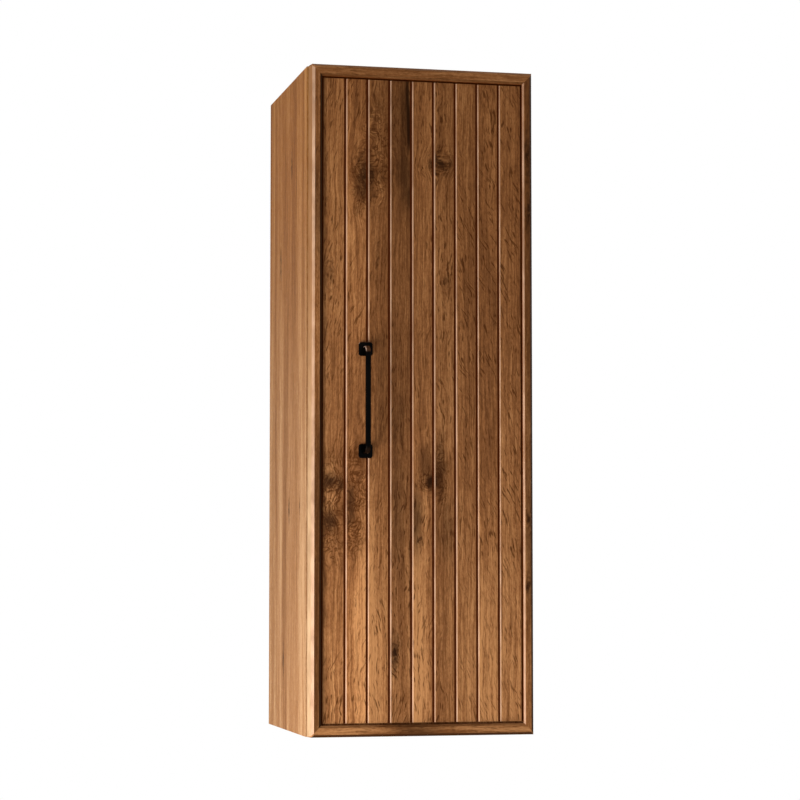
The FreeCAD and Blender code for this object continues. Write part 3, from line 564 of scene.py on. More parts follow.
class OakPainter:
    """The nodes of one oak finish, whose bands, lines, pores and marks all follow one bent grain."""

    SLANTED = (0.22, 0.42)
    SQUARE_ON = (0.85, 0.95)

    def __init__(self, oak: OakFinish) -> None:
        """Start the material and lay out its coordinates.

        Args:
            oak: The finish.
        """
        self.oak = oak
        self.surface = Surface(oak.name)
        self.place = dict(zip("XYZ", self.surface.split(self.surface.place())))
        self.across, self.into, self.along = (self.place[letter] for letter in oak.way.value)
        self.board = self.surface.join(self.across, self.into, self.along)
        self.drift = self._swing(Weave.DRIFT)
        waver = self._swing(Weave.WAVER)
        self.spots = self.surface.join(
            self.across + waver * oak.wander.mark_across,
            self.along + self.drift * oak.wander.mark_drift + waver * oak.wander.mark_along,
            0.0,
        )
        self.grain = self._bend()
        stops = list(zip(oak.tone_stops, (oak.dark, oak.middle, oak.light)))
        self.colour = self.surface.ramp(self._tone(), stops)

    def paint(self) -> bpy.types.Material:
        """Lay the wood's colours over each other, and add its sheen and bump.

        Returns:
            The new material.
        """
        oak = self.oak
        surface = self.surface
        pores = self._noise(Weave.PORES).step(0.56, 0.7)
        lines = self._lines()
        dashes = self._dashes()
        clear = 1.0 - lines * oak.figure.line_gain
        clear = clear * (1.0 - pores * oak.figure.pore_gain) * (1.0 - dashes * oak.figure.dash_gain)
        self._cover(1.0 - clear, oak.vein)
        self._draw_marks()
        self._tint()
        self._wear_and_painted_light()
        drawn = self._noise(Weave.DRAWN)
        sheen = oak.sheen
        relief = oak.relief
        surface.set(Base_Color=self.colour, Specular_IOR_Level=sheen.specular)
        surface.set(Roughness=sheen.roughness + pores * sheen.pores + drawn * sheen.drawn)
        height = drawn * relief.drawn - pores * relief.pores - lines * relief.lines - dashes * relief.dashes
        surface.bump(height, relief.strength, relief.depth)
        return surface.material

    def _cover(self, share: Feed, tint: Feed, blend: Blend = Blend.COVER) -> None:
        """Lay a share of a tint over the wood's colour."""
        self.colour = self.surface.mix(share, self.colour, tint, blend)

    def _noise(self, weave: Weave, over: Optional[Value] = None) -> Value:
        """Give a noise of about 0.5.

        Args:
            weave: Which noise.
            over: Its coordinates, or else the grain's.

        Returns:
            The noise.
        """
        across, along, detail, rough = weave.value
        return self.surface.noise(over or self.grain, (across, across, along), detail, rough)

    def _swing(self, weave: Weave) -> Value:
        """Give a noise of about 0 over the straight board."""
        return self._noise(weave, self.board) - 0.5

    def _reach(self, spot: Spot, over: Optional[Value] = None) -> Value:
        """Give the distance from a spot's middle.

        Args:
            spot: The spot.
            over: The coordinates, or else the wavering ones.

        Returns:
            The distance, in spot sizes.
        """
        away = self.surface.vector("SUBTRACT", over or self.spots, (spot.across, spot.along, 0.0))
        sized = self.surface.vector("MULTIPLY", away, (1 / spot.half_wide, 1 / spot.half_long, 0.0))
        return self.surface.vector("LENGTH", sized, (0.0, 0.0, 0.0), 1)

    def _nearest(self, group: Sequence[Spot]) -> Value:
        """Give the distance to the nearest spot of a group.

        Args:
            group: The spots, at least one.

        Returns:
            The distance, in spot sizes.
        """
        near = self._reach(group[0])
        for spot in group[1:]:
            near = near.least(self._reach(spot))
        return near

    def _bend(self) -> Value:
        """Bend the grain round the knots and make it flow in the burls.

        Returns:
            The grain's coordinates.
        """
        marks = self.oak.marks
        wander = self.oak.wander
        ripple = self._swing(Weave.RIPPLE)
        bent = self.across + self.drift * wander.grain_drift + ripple * wander.grain_ripple
        for knot in marks.knots + marks.eyes:
            push = Falloff.GRAIN_PUSH.of(self._reach(knot))
            bent = bent - (self.across - knot.across) * push * wander.knot_push
        if marks.burls:
            burl = Falloff.GRAIN_FLOW.of(self._nearest(marks.burls))
            bent = bent + burl * self._swing(Weave.FLOW) * wander.burl_flow
        return self.surface.join(bent, self.into, self.along)

    def _tone(self) -> Value:
        """Mix broad bands, finer streaks and the pale places into one tone; some pale places are painted
        light.

        Returns:
            A tone of about 0.5.
        """
        figure = self.oak.figure
        band_scale = (figure.band, figure.band, figure.band_along)
        bands = self.surface.noise(self.grain, band_scale, 3.0, 0.55) - 0.5
        streaks = self._noise(Weave.STREAKS) - 0.5
        fine = self._noise(Weave.FINE) - 0.5
        grit = self._noise(Weave.GRIT) - 0.5
        tone = 0.5 + bands * (2.0 * figure.band_gain)
        tone = tone + (streaks + fine + grit * figure.grit_gain) * (2.0 * figure.streak_gain)
        for spot in self.oak.marks.pale:
            soft = Falloff.PALE.of(self._reach(spot))
            tone = tone + soft * (figure.pale_gain + streaks * figure.pale_streak) * spot.depth
        return tone

    def _lines(self) -> Value:
        """Draw the thin dark year lines.

        Returns:
            1 on a line and 0 between lines.
        """
        across, into, _ = self.surface.split(self.grain)
        figure = self.oak.figure
        turns = (across + into * figure.line_slope) * (1.0 / figure.line_pitch)
        turns = turns + self._noise(Weave.UNEVEN) * figure.line_sway
        return turns.wave() ** 4.0 * self._noise(Weave.BROKEN).step(0.36, 0.66)

    def _dashes(self) -> Value:
        """Draw the short pore marks, which lean on the outer planks.

        Returns:
            1 on a mark and 0 between marks.
        """
        figure = self.oak.figure
        across, into, along = self.surface.split(self.grain)
        tilt = across + (self._noise(Weave.SWAY) - 0.5) * self.oak.wander.dash_sway
        if figure.dash_lean:
            right = self.place["X"].step(figure.lean_from, figure.lean_from + figure.lean_soft)
            left = self.place["X"].step(figure.lean_until, figure.lean_until - figure.lean_soft)
            tilt = tilt + along * (right * figure.dash_lean - left * figure.left_lean)
        marks = self._noise(Weave.DASHES, self.surface.join(tilt, into, along)).step(0.58, 0.69)
        clusters = self._noise(Weave.CLUSTERS).step(0.34, 0.6)
        return marks * (figure.dash_loose + clusters * (1.0 - figure.dash_loose))

    def _draw_marks(self) -> None:
        """Darken the burls, knots, eyes, dark spots and straight streaks; the dark spots are staining in the
        wood and painted shade.
        """
        marks = self.oak.marks
        if marks.burls:
            self._cover(1.0 - self._burl_light(), self.oak.vein)
        for group, depths in ((marks.knots, marks.knot_depths), (marks.eyes, marks.eye_depths)):
            if group:
                self._cover(1.0 - self._knot_light(self._nearest(group), *depths), self.oak.heart)
        # The dark spots are staining in the wood and painted shade.
        for dark_spot in marks.stains_and_shade:
            self._cover(Falloff.DARK_SPOT.of(self._reach(dark_spot)) * dark_spot.depth, self.oak.heart)
        steady = self.surface.join(self.across, self.along, 0.0)
        for streak in marks.streaks:
            dark = Falloff.STREAK.of(self._reach(streak, steady))
            self._cover(dark * streak.depth, self.oak.heart)

    def _knot_light(self, near: Value, rings: float, hearts: float) -> Value:
        """Darken knots' hearts and broken rings.

        Args:
            near: The distance to the nearest knot.
            rings: How dark the rings are.
            hearts: How dark the hearts are.

        Returns:
            1 away from the knots, less on them.
        """
        marks = self.oak.marks
        fine = self._noise(Weave.KNOT_FINE)
        broad = self._noise(Weave.KNOT_BROAD)
        wave = (near * marks.ring_rate + fine * marks.ring_rate + broad * marks.ring_break).wave() ** 2.0
        ring = wave * Falloff.RINGS.of(near) * broad.step(0.3, 0.6)
        heart = Falloff.HEART.of(near) * fine.step(0.22, 0.56)
        return (1.0 - ring * rings) * (1.0 - heart * hearts)

    def _burl_light(self) -> Value:
        """Draw the burls' dark flowing lines, curls and clouds.

        Returns:
            1 away from the burls, less on their lines.
        """
        marks = self.oak.marks
        clouds = self._noise(Weave.BURL_CLOUDS)
        fine = self._noise(Weave.BURL_FINE)
        turns = self.surface.split(self.grain)[0] * (1.0 / marks.burl_pitch)
        turns = turns + clouds * marks.burl_sway + fine * marks.burl_fray
        curls = self._noise(Weave.BURL_CURLS) * marks.curl_turns + fine * marks.curl_fray
        inside = Falloff.BURL.of(self._nearest(marks.burls))
        flow = 1.0 - inside * turns.wave() ** 3.0 * marks.burl_flow
        curl = 1.0 - inside * curls.wave() ** 3.0 * marks.burl_curl
        return flow * curl * (1.0 - inside * clouds.step(0.46, 0.64) * marks.burl_cloud)

    def _tint(self) -> None:
        """Give each plank its own tone, and paint shade on the upper end of the board, making it darker and
        warmer.
        """
        oak = self.oak
        if oak.planks:
            count = len(oak.planks.tones)
            share = (self.place["X"] - oak.planks.start) / (oak.planks.width * count)
            stops = [(number / count, (tone,) * 3) for number, tone in enumerate(oak.planks.tones)]
            self._cover(1.0, self.surface.ramp(share, stops, stepped=True), Blend.MULTIPLY)
        if oak.warm_top_shade:
            self._cover(self.place["Z"].step(oak.warm_from, oak.warm_full), oak.warm_top_shade, Blend.MULTIPLY)

    def _wear_and_painted_light(self) -> None:
        """Paint light on the outer edge faces, paler toward the bottom; rub the slanted faces pale, as wear
        and painted highlight; paint shade on slanted faces turned from the light and in groove bottoms; and
        paint shade into the shadow gap.
        """
        edges = self.oak.edges
        surface = self.surface
        across, into, up = (abs(part) for part in surface.split(surface.facing()))
        slant = (into * (across + up)).step(*self.SLANTED)
        patchy = self._noise(Weave.WORN).step(0.3, 0.7)
        away = abs(self.across).past(edges.outer_from, edges.outer_soft)
        depth = self.place["Y"]
        # Painted light: paler outer edge faces toward the bottom, darker toward the top.
        if edges.outer_light_gradient:
            outer = across.step(*self.SQUARE_ON) * away
            height = self.place["Z"].step(edges.tone_low, edges.tone_high)
            shade = surface.mix(height, edges.outer_bottom_light, edges.outer_top_shade)
            self._cover(outer * (0.6 + patchy * 0.4) * edges.outer_light_gradient, shade)
        # Rub the slanted faces pale: wear, and painted highlight on the edges that catch the light.
        if edges.rub or edges.outer_rub_and_highlight:
            inner = depth.past(edges.rub_from, edges.rub_soft) * edges.rub
            rub = away * edges.outer_rub_and_highlight + (1.0 - away) * inner
            self._cover(slant * (0.45 + patchy * 0.55) * rub, edges.rubbed)
        # Painted shade: darken the slanted faces turned away from the light and the faces in the groove
        # bottoms.
        if edges.painted_shade:
            shaded_faces = surface.vector("DOT_PRODUCT", surface.facing(), edges.shade_facing, 1).step(0.3, 0.6)
            if edges.shaded_depth:
                shaded_faces = shaded_faces.most(depth.past(edges.shaded_depth, edges.shaded_depth_soft))
            painted_shade = away * (edges.outer_painted_shade - edges.painted_shade) + edges.painted_shade
            self._cover(shaded_faces * slant * painted_shade, edges.shade_colour)
        # Painted shade: darken the faces down in the shadow gap, less so at its bottom edge.
        if edges.gap:
            deep = depth.past(edges.gap_front, edges.gap_soft).most(across.most(up).step(*self.SQUARE_ON))
            shown = depth.step(edges.gap_back, edges.gap_back - edges.gap_fade)
            above = self.place["Z"].past(edges.gap_low, edges.gap_soft) * (1.0 - edges.gap_low_share)
            dark = deep * (1.0 - away) * shown * (above + edges.gap_low_share)
            self._cover(dark * edges.gap, edges.gap_shade_colour)


@dataclass(frozen=True)
class BlackMetalFinish:
    """Satin black powder coat with a fine orange-peel surface, with a painted brown reflection and a painted
    highlight on its bends.
    """

    name: str
    bend_up: float
    bend_down: float
    bend_reach: float = 0.012
    colour: Colour = (0.0008, 0.0006, 0.0005)
    rubbed: Colour = (0.003, 0.0022, 0.0017)
    # Painted reflection and painted highlight on the bends: a brown reflection of the wood and a pale
    # highlight.
    bend_reflection: Colour = (0.15, 0.06, 0.024)
    bend_highlight: Colour = (0.6, 0.42, 0.32)
    peel_scale: Point = (2600.0, 2600.0, 2600.0)
    rub_scale: Point = (60.0, 60.0, 25.0)
    rub_gain: float = 0.5
    # How strongly the painted reflection and painted highlight show on the upper and lower bends.
    top_reflection: float = 0.75
    bottom_reflection: float = 0.05
    top_highlight: float = 0.7
    specular: float = 0.025
    roughness: float = 0.13

    def material(self) -> bpy.types.Material:
        """Build the finish.

        Returns:
            The new material.
        """
        surface = Surface(self.name)
        place = surface.place()
        peel = surface.noise(place, self.peel_scale)
        rub = surface.noise(place, self.rub_scale, 3.0).step(0.45, 0.75)
        height = surface.split(place)[2]
        across, _, up = surface.split(surface.facing())
        near = self.bend_reach / 2
        top = height.step(self.bend_up - self.bend_reach, self.bend_up - near) * up.step(0.04, 0.4)
        bottom = height.step(self.bend_down + self.bend_reach, self.bend_down + near) * up.step(-0.04, -0.4)
        colour = surface.mix(rub * self.rub_gain, self.colour, self.rubbed)
        # Painted reflection on the upper bend facing up and, faintly, on the lower bend facing down.
        colour = surface.mix(top * self.top_reflection + bottom * self.bottom_reflection, colour, self.bend_reflection)
        # Painted highlight on the upper bend's left side.
        colour = surface.mix(top * across.step(-0.25, -0.6) * self.top_highlight, colour, self.bend_highlight)
        surface.set(Base_Color=colour, Specular_IOR_Level=self.specular)
        surface.set(Roughness=self.roughness + peel * 0.06 + rub * 0.05)
        surface.bump(peel, 0.12, 0.0002)
        return surface.material


@dataclass(frozen=True)
class SteelFinish:
    """Zinc-plated steel with a drawn grain and cloudy yellow patches."""

    name: str
    colour: Colour = (0.56, 0.57, 0.58)
    cloudy: Colour = (0.66, 0.63, 0.56)
    drawn_scale: Point = (2200.0, 300.0, 2200.0)
    cloud_scale: Point = (90.0, 90.0, 90.0)

    def material(self) -> bpy.types.Material:
        """Build the finish.

        Returns:
            The new material.
        """
        surface = Surface(self.name)
        place = surface.place()
        drawn = surface.noise(place, self.drawn_scale)
        cloud = surface.noise(place, self.cloud_scale, 3.0)
        surface.set(Base_Color=surface.mix(cloud, self.colour, self.cloudy), Metallic=1.0)
        surface.set(Roughness=0.26 + drawn * 0.14 + cloud * 0.08)
        surface.bump(drawn, 0.1, 0.0002)
        return surface.material


@dataclass(frozen=True)
class MouldedFinish:
    """Moulded plastic, ferrite or soft rubber with a fine spark texture."""

    name: str
    colour: Colour
    shadow: Colour
    roughness: float = 0.5
    spark_scale: Point = (3000.0, 3000.0, 3000.0)
    cloud_scale: Point = (120.0, 120.0, 120.0)

    def material(self) -> bpy.types.Material:
        """Build the finish.

        Returns:
            The new material.
        """
        surface = Surface(self.name)
        place = surface.place()
        spark = surface.noise(place, self.spark_scale)
        cloud = surface.noise(place, self.cloud_scale, 3.0).step(0.3, 0.75)
        surface.set(Base_Color=surface.mix(cloud, self.colour, self.shadow))
        surface.set(Roughness=self.roughness - 0.06 + spark * 0.12)
        surface.bump(spark, 0.15, 0.0002)
        return surface.material


def dress(nodes: Sequence[str], finish: Finish) -> bpy.types.Material:
    """Give CAD nodes a finish.

    Args:
        nodes: Their names.
        finish: The finish.

    Returns:
        The finish's material.
    """
    material = finish.material()
    for name in nodes:
        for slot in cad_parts[name].material_slots:
            slot.material = material
        LOG.info("%s wears %s", name, material.name)
    return material


def put(name: str, data: bpy.types.ID) -> bpy.types.Object:
    """Add an object to the scene.

    Args:
        name: Its name.
        data: Its mesh, lamp or camera.

    Returns:
        The object, at the origin.
    """
    thing = bpy.data.objects.new(name, data)
    bpy.context.scene.collection.objects.link(thing)
    return thing


@dataclass
class Carcass:
    """The board box with its shelves, back and hanging rails, in pale oak."""

    sides: tuple[str, ...] = ("side_panel_left", "side_panel_right")
    ends: tuple[str, ...] = ("top_panel", "bottom_panel")
    shelves: tuple[str, ...] = ("shelf_lower", "shelf_middle", "shelf_upper")
    rails: tuple[str, ...] = ("hanging_rail_upper", "hanging_rail_lower")
    back: tuple[str, ...] = ("back_panel",)
    dowels: tuple[str, ...] = ("carcass_dowels",)
    oak: OakFinish = OakFinish(
        "oak_side_upright",
        GrainWay.SIDE_UPRIGHT,
        dark=(0.2, 0.082, 0.029),
        middle=(0.343, 0.161, 0.064),
        light=(0.525, 0.303, 0.151),
        figure=Figure(
            band=30.0, band_gain=0.55, streak_gain=0.3,
            line_pitch=0.011, line_gain=0.16, pore_gain=0.2, dash_gain=0.12,
        ),
    )
    side_marks: Marks = Marks(
        knots=(
            Spot(-0.1047, 0.2377, 0.006, 0.028), Spot(-0.1865, -0.1706, 0.006, 0.018),
            Spot(-0.1358, -0.4137, 0.006, 0.022), Spot(-0.2798, -0.165, 0.004, 0.012),
            Spot(-0.2042, 0.3891, 0.005, 0.024),
        ),
        # Painted light: the front of the side is painted paler toward its lower end.
        pale=(Spot(-0.325, -0.36, 0.035, 0.36, 0.32),),
    )
    # Painted shade: the side's upper end is made darker and warmer.
    side_warm_top_shade: Colour = (0.93, 0.74, 0.46)
    beech_dark: Colour = (0.42, 0.26, 0.14)
    beech_middle: Colour = (0.55, 0.36, 0.21)
    beech_light: Colour = (0.66, 0.46, 0.29)

    def level(self, name: str, way: GrainWay, band: float) -> OakFinish:
        """Give the pale oak another grain.

        Args:
            name: The new finish's name.
            way: How its grain runs.
            band: How fine its bands are.

        Returns:
            The finish.
        """
        return replace(self.oak, name=name, way=way, figure=replace(self.oak.figure, band=band))

    def dress(self) -> None:
        """Finish every board of the box."""
        dress(self.sides, replace(self.oak, marks=self.side_marks, warm_top_shade=self.side_warm_top_shade))
        dress(self.ends, self.level("oak_board_level", GrainWay.BOARD_LEVEL, band=30.0))
        dress(self.shelves, self.level("oak_shelf_level", GrainWay.BOARD_LEVEL, band=24.0))
        dress(self.rails, self.level("oak_rail_level", GrainWay.DOOR_LEVEL, band=26.0))
        dress(self.back, self.level("oak_back_upright", GrainWay.DOOR_UPRIGHT, band=26.0))
        beech = self.level("beech_dowel", GrainWay.BOARD_LEVEL, band=30.0)
        beech = replace(beech, dark=self.beech_dark, middle=self.beech_middle, light=self.beech_light)
        dress(self.dowels, beech)


@dataclass
class Door:
    """The framed plank door, in rustic oak."""

    stiles: tuple[str, ...] = ("door_stile_left", "door_stile_right")
    rails: tuple[str, ...] = ("door_rail_top", "door_rail_bottom")
    panel: tuple[str, ...] = ("door_panel",)
    face_half_width: float = 0.1595
    plank_tones: tuple[float, ...] = (1.04, 1.17, 0.93, 0.82, 0.97, 0.85, 0.89, 0.96, 0.95)
    oak: OakFinish = OakFinish(
        "oak_planks",
        GrainWay.DOOR_UPRIGHT,
        dark=(0.124, 0.045, 0.0155),
        middle=(0.282, 0.111, 0.038),
        light=(0.51, 0.232, 0.087),
        figure=Figure(
            streak_gain=0.3, line_gain=0.32, pore_gain=0.45, dash_gain=0.8, dash_lean=0.28, left_lean=0.20
        ),
        edges=Edges(
            # Pale groove walls, as wear and painted highlight.
            rub=0.7,
            outer_rub_and_highlight=0.7,
            outer_from=1.0,
            # Painted shade on the groove walls turned right and in the groove bottoms.
            painted_shade=1.0,
            shaded_depth=-0.3525,
            # Painted shade in the shadow gap round the panel.
            gap=0.95,
            shade_colour=(0.1, 0.02, 0.003),
        ),
        # Painted shade: the panel's upper end is made a little darker and warmer.
        warm_top_shade=(0.95, 0.92, 0.86),
    )
    frame_middle: Colour = (0.235, 0.088, 0.027)
    panel_marks: Marks = Marks(
        knots=(
            Spot(-0.09, 0.349, 0.016, 0.036), Spot(0.028, 0.378, 0.016, 0.012),
            Spot(0.015, -0.13, 0.011, 0.015), Spot(-0.0517, -0.062, 0.0025, 0.0035),
            Spot(-0.0045, -0.221, 0.004, 0.005), Spot(-0.046, -0.399, 0.007, 0.022),
            Spot(-0.1074, -0.317, 0.002, 0.01),
        ),
        eyes=(
            Spot(0.038, 0.194, 0.006, 0.012), Spot(-0.1488, 0.193, 0.008, 0.022),
            Spot(-0.072, 0.222, 0.003, 0.022),
        ),
        burls=(
            Spot(-0.142, -0.15, 0.024, 0.06), Spot(-0.145, -0.215, 0.018, 0.04),
            Spot(-0.1085, -0.14, 0.02, 0.055), Spot(-0.11, -0.205, 0.016, 0.035),
            Spot(-0.075, 0.385, 0.024, 0.07), Spot(-0.1, 0.345, 0.012, 0.05),
            Spot(0.029, 0.379, 0.016, 0.024), Spot(0.006, -0.128, 0.01, 0.018),
            Spot(0.03, -0.12, 0.009, 0.05),
        ),
        stains_and_shade=(
            Spot(-0.0985, 0.34, 0.013, 0.046, 0.34), Spot(-0.0355, 0.44, 0.018, 0.11, 0.26),
            Spot(-0.027, 0.455, 0.012, 0.07, 0.5), Spot(-0.029, 0.349, 0.015, 0.06, 0.66),
            Spot(-0.04, -0.175, 0.016, 0.14, 0.4), Spot(-0.0105, -0.195, 0.012, 0.062, 0.66),
            Spot(0.005, -0.1, 0.016, 0.036, 0.5), Spot(0.029, -0.105, 0.01, 0.055, 0.5),
            Spot(0.038, -0.205, 0.013, 0.055, 0.42), Spot(-0.045, -0.39, 0.009, 0.04, 0.45),
            # The second spot below, a long band down the panel's left edge, is a painted shadow of the left
            # stile.
            Spot(-0.07, 0.47, 0.04, 0.05, 0.14), Spot(-0.1595, 0.0, 0.0058, 3.0, 0.5),
            Spot(-0.1487, -0.1277, 0.013, 0.016, 0.85), Spot(-0.132, -0.132, 0.008, 0.014, 0.74),
            Spot(-0.148, -0.187, 0.013, 0.02, 0.82), Spot(-0.115, -0.153, 0.009, 0.024, 0.72),
            Spot(-0.115, -0.181, 0.008, 0.016, 0.64), Spot(-0.0096, -0.169, 0.008, 0.035, 0.28),
            Spot(0.0165, -0.13, 0.01, 0.014, 0.92), Spot(-0.0517, -0.062, 0.003, 0.005, 0.75),
            Spot(-0.038, -0.03, 0.012, 0.05, 0.28),
        ),
        streaks=(
            Spot(-0.0248, 0.485, 0.0034, 0.036, 0.88), Spot(-0.0228, 0.44, 0.0042, 0.046, 0.92),
            Spot(-0.0215, 0.412, 0.0036, 0.022, 0.8), Spot(-0.022, 0.318, 0.0044, 0.022, 0.55),
        ),
        # Pale spots: the long ones in the lower half of the panel are painted light, paler toward the bottom;
        # the rest are paler wood.
        pale=(
            Spot(-0.004, -0.4, 0.015, 0.2, 0.4), Spot(-0.107, 0.3, 0.017, 0.26, 0.2),
            Spot(0.142, 0.02, 0.017, 0.2, 0.09), Spot(-0.09, -0.45, 0.03, 0.24, 0.36),
            Spot(-0.142, -0.45, 0.02, 0.26, 0.3), Spot(0.115, -0.48, 0.052, 0.26, 0.32),
            Spot(-0.147, -0.112, 0.01, 0.016, 0.3), Spot(-0.146, -0.157, 0.014, 0.02, 0.35),
            Spot(0.002, -0.177, 0.006, 0.03, 0.25),
        ),
    )
    stile_marks: Marks = Marks(
        knots=(
            Spot(0.1715, 0.385, 0.006, 0.026), Spot(0.1715, 0.3, 0.006, 0.028),
            Spot(0.17, -0.187, 0.005, 0.011), Spot(0.1697, -0.291, 0.005, 0.011),
        ),
        stains_and_shade=(
            # These darken long stretches of the stiles' faces.
            Spot(-0.169, -0.15, 0.012, 0.17, 0.62), Spot(-0.169, 0.3, 0.012, 0.1, 0.52),
            Spot(-0.169, -0.4, 0.012, 0.22, 0.62), Spot(0.171, 0.05, 0.012, 0.5, 0.42),
            Spot(0.171, -0.23, 0.012, 0.15, 0.38),
        ),
    )
    rail_marks: Marks = Marks(
        # The first spot is a dark knot; the second darkens the bottom rail along its whole length.
        stains_and_shade=(Spot(-0.516, -0.013, 0.02, 0.042, 0.55), Spot(-0.516, 0.0, 0.02, 0.3, 0.26)),
        pale=(Spot(-0.516, -0.13, 0.02, 0.055, 0.3), Spot(-0.516, 0.135, 0.02, 0.075, 0.22)),
    )

    # Stile edges: pale rubbing as wear and painted highlight, painted shade on faces turned right (the left
    # stile's inner bevel, the right arris), painted light on the outer edge faces, painted shade in the
    # shadow gap.
    stile_edges: Edges = Edges(
        rub=0.78, rub_from=-0.359, outer_rub_and_highlight=0.85, outer_light_gradient=1.0, painted_shade=0.95, outer_painted_shade=0.95, gap=0.9
    )
    rail_edges: Edges = Edges(
        outer_rub_and_highlight=0.1,
        outer_from=0.514,
        # Painted shade on the rails' faces turned down, strongest on the outer arrises.
        painted_shade=0.6,
        outer_painted_shade=0.97,
        shade_facing=(0.0, 0.0, -1.0),
        # Painted shade in the shadow gap over and under the panel.
        gap=0.9,
    )
    stile_figure: Figure = Figure()
    rail_figure: Figure = Figure(dash_gain=0.6)

    def dress(self) -> None:
        """Finish the sticks and the panel."""
        stick = replace(self.oak, middle=self.frame_middle, warm_top_shade=None)
        upright = replace(stick, name="oak_stile_upright", figure=self.stile_figure)
        dress(self.stiles, replace(upright, marks=self.stile_marks, edges=self.stile_edges))
        level = replace(stick, name="oak_frame_level", way=GrainWay.DOOR_LEVEL, figure=self.rail_figure)
        dress(self.rails, replace(level, marks=self.rail_marks, edges=self.rail_edges))
        width = 2.0 * self.face_half_width / len(self.plank_tones)
        planks = Planks(-self.face_half_width, width, self.plank_tones)
        dress(self.panel, replace(self.oak, marks=self.panel_marks, planks=planks))


@dataclass
class PullHandle:
    """The bent bar on its two square roses."""

    nodes: tuple[str, ...] = ("handle_bar", "handle_rose_upper", "handle_rose_lower")
    black: BlackMetalFinish = BlackMetalFinish("satin_black", bend_up=0.082, bend_down=-0.086)

    def dress(self) -> None:
        """Finish the pull in satin black."""
        dress(self.nodes, self.black)


class Turn(Enum):
    """How a screw is turned, as angles about the row axes, from one whose head faces up."""

    HEAD_UP = (0.0, 0.0, 0.0)
    HEAD_DOWN = (math.pi, 0.0, 0.0)
    HEAD_BACK = (-math.pi / 2, 0.0, 0.0)
    HEAD_RIGHT = (0.0, math.pi / 2, 0.0)


@dataclass(frozen=True)
class Seat:
    """Where a screw's head meets its face, and how the screw is turned."""

    place: Point
    turn: Turn


@dataclass(frozen=True)
class ScrewSize:
    """One screw's sizes in metres, with its head's base measured up from the face that it meets."""

    top_radius: float
    foot_radius: float
    head_base: float
    head_height: float
    shank_radius: float
    shank_length: float


@dataclass(frozen=True)
class ScrewSet:
    """Screws of one size that stand for one CAD node."""

    name: str
    node: str
    body: Body
    seats: tuple[Seat, ...]
    size: ScrewSize


def column(x: float, y: float, heights: Sequence[float], turn: Turn) -> tuple[Seat, ...]:
    """Give seats above each other, all turned alike."""
    return tuple(Seat((x, y, z), turn) for z in heights)


def top_and_bottom(level: float, holes: Sequence[tuple[float, float]]) -> tuple[Seat, ...]:
    """Give seats that face up at a level above the middle, and down at the same level below it."""
    faces = ((level, Turn.HEAD_UP), (-level, Turn.HEAD_DOWN))
    return tuple(Seat((x, y, z), turn) for z, turn in faces for x, y in holes)


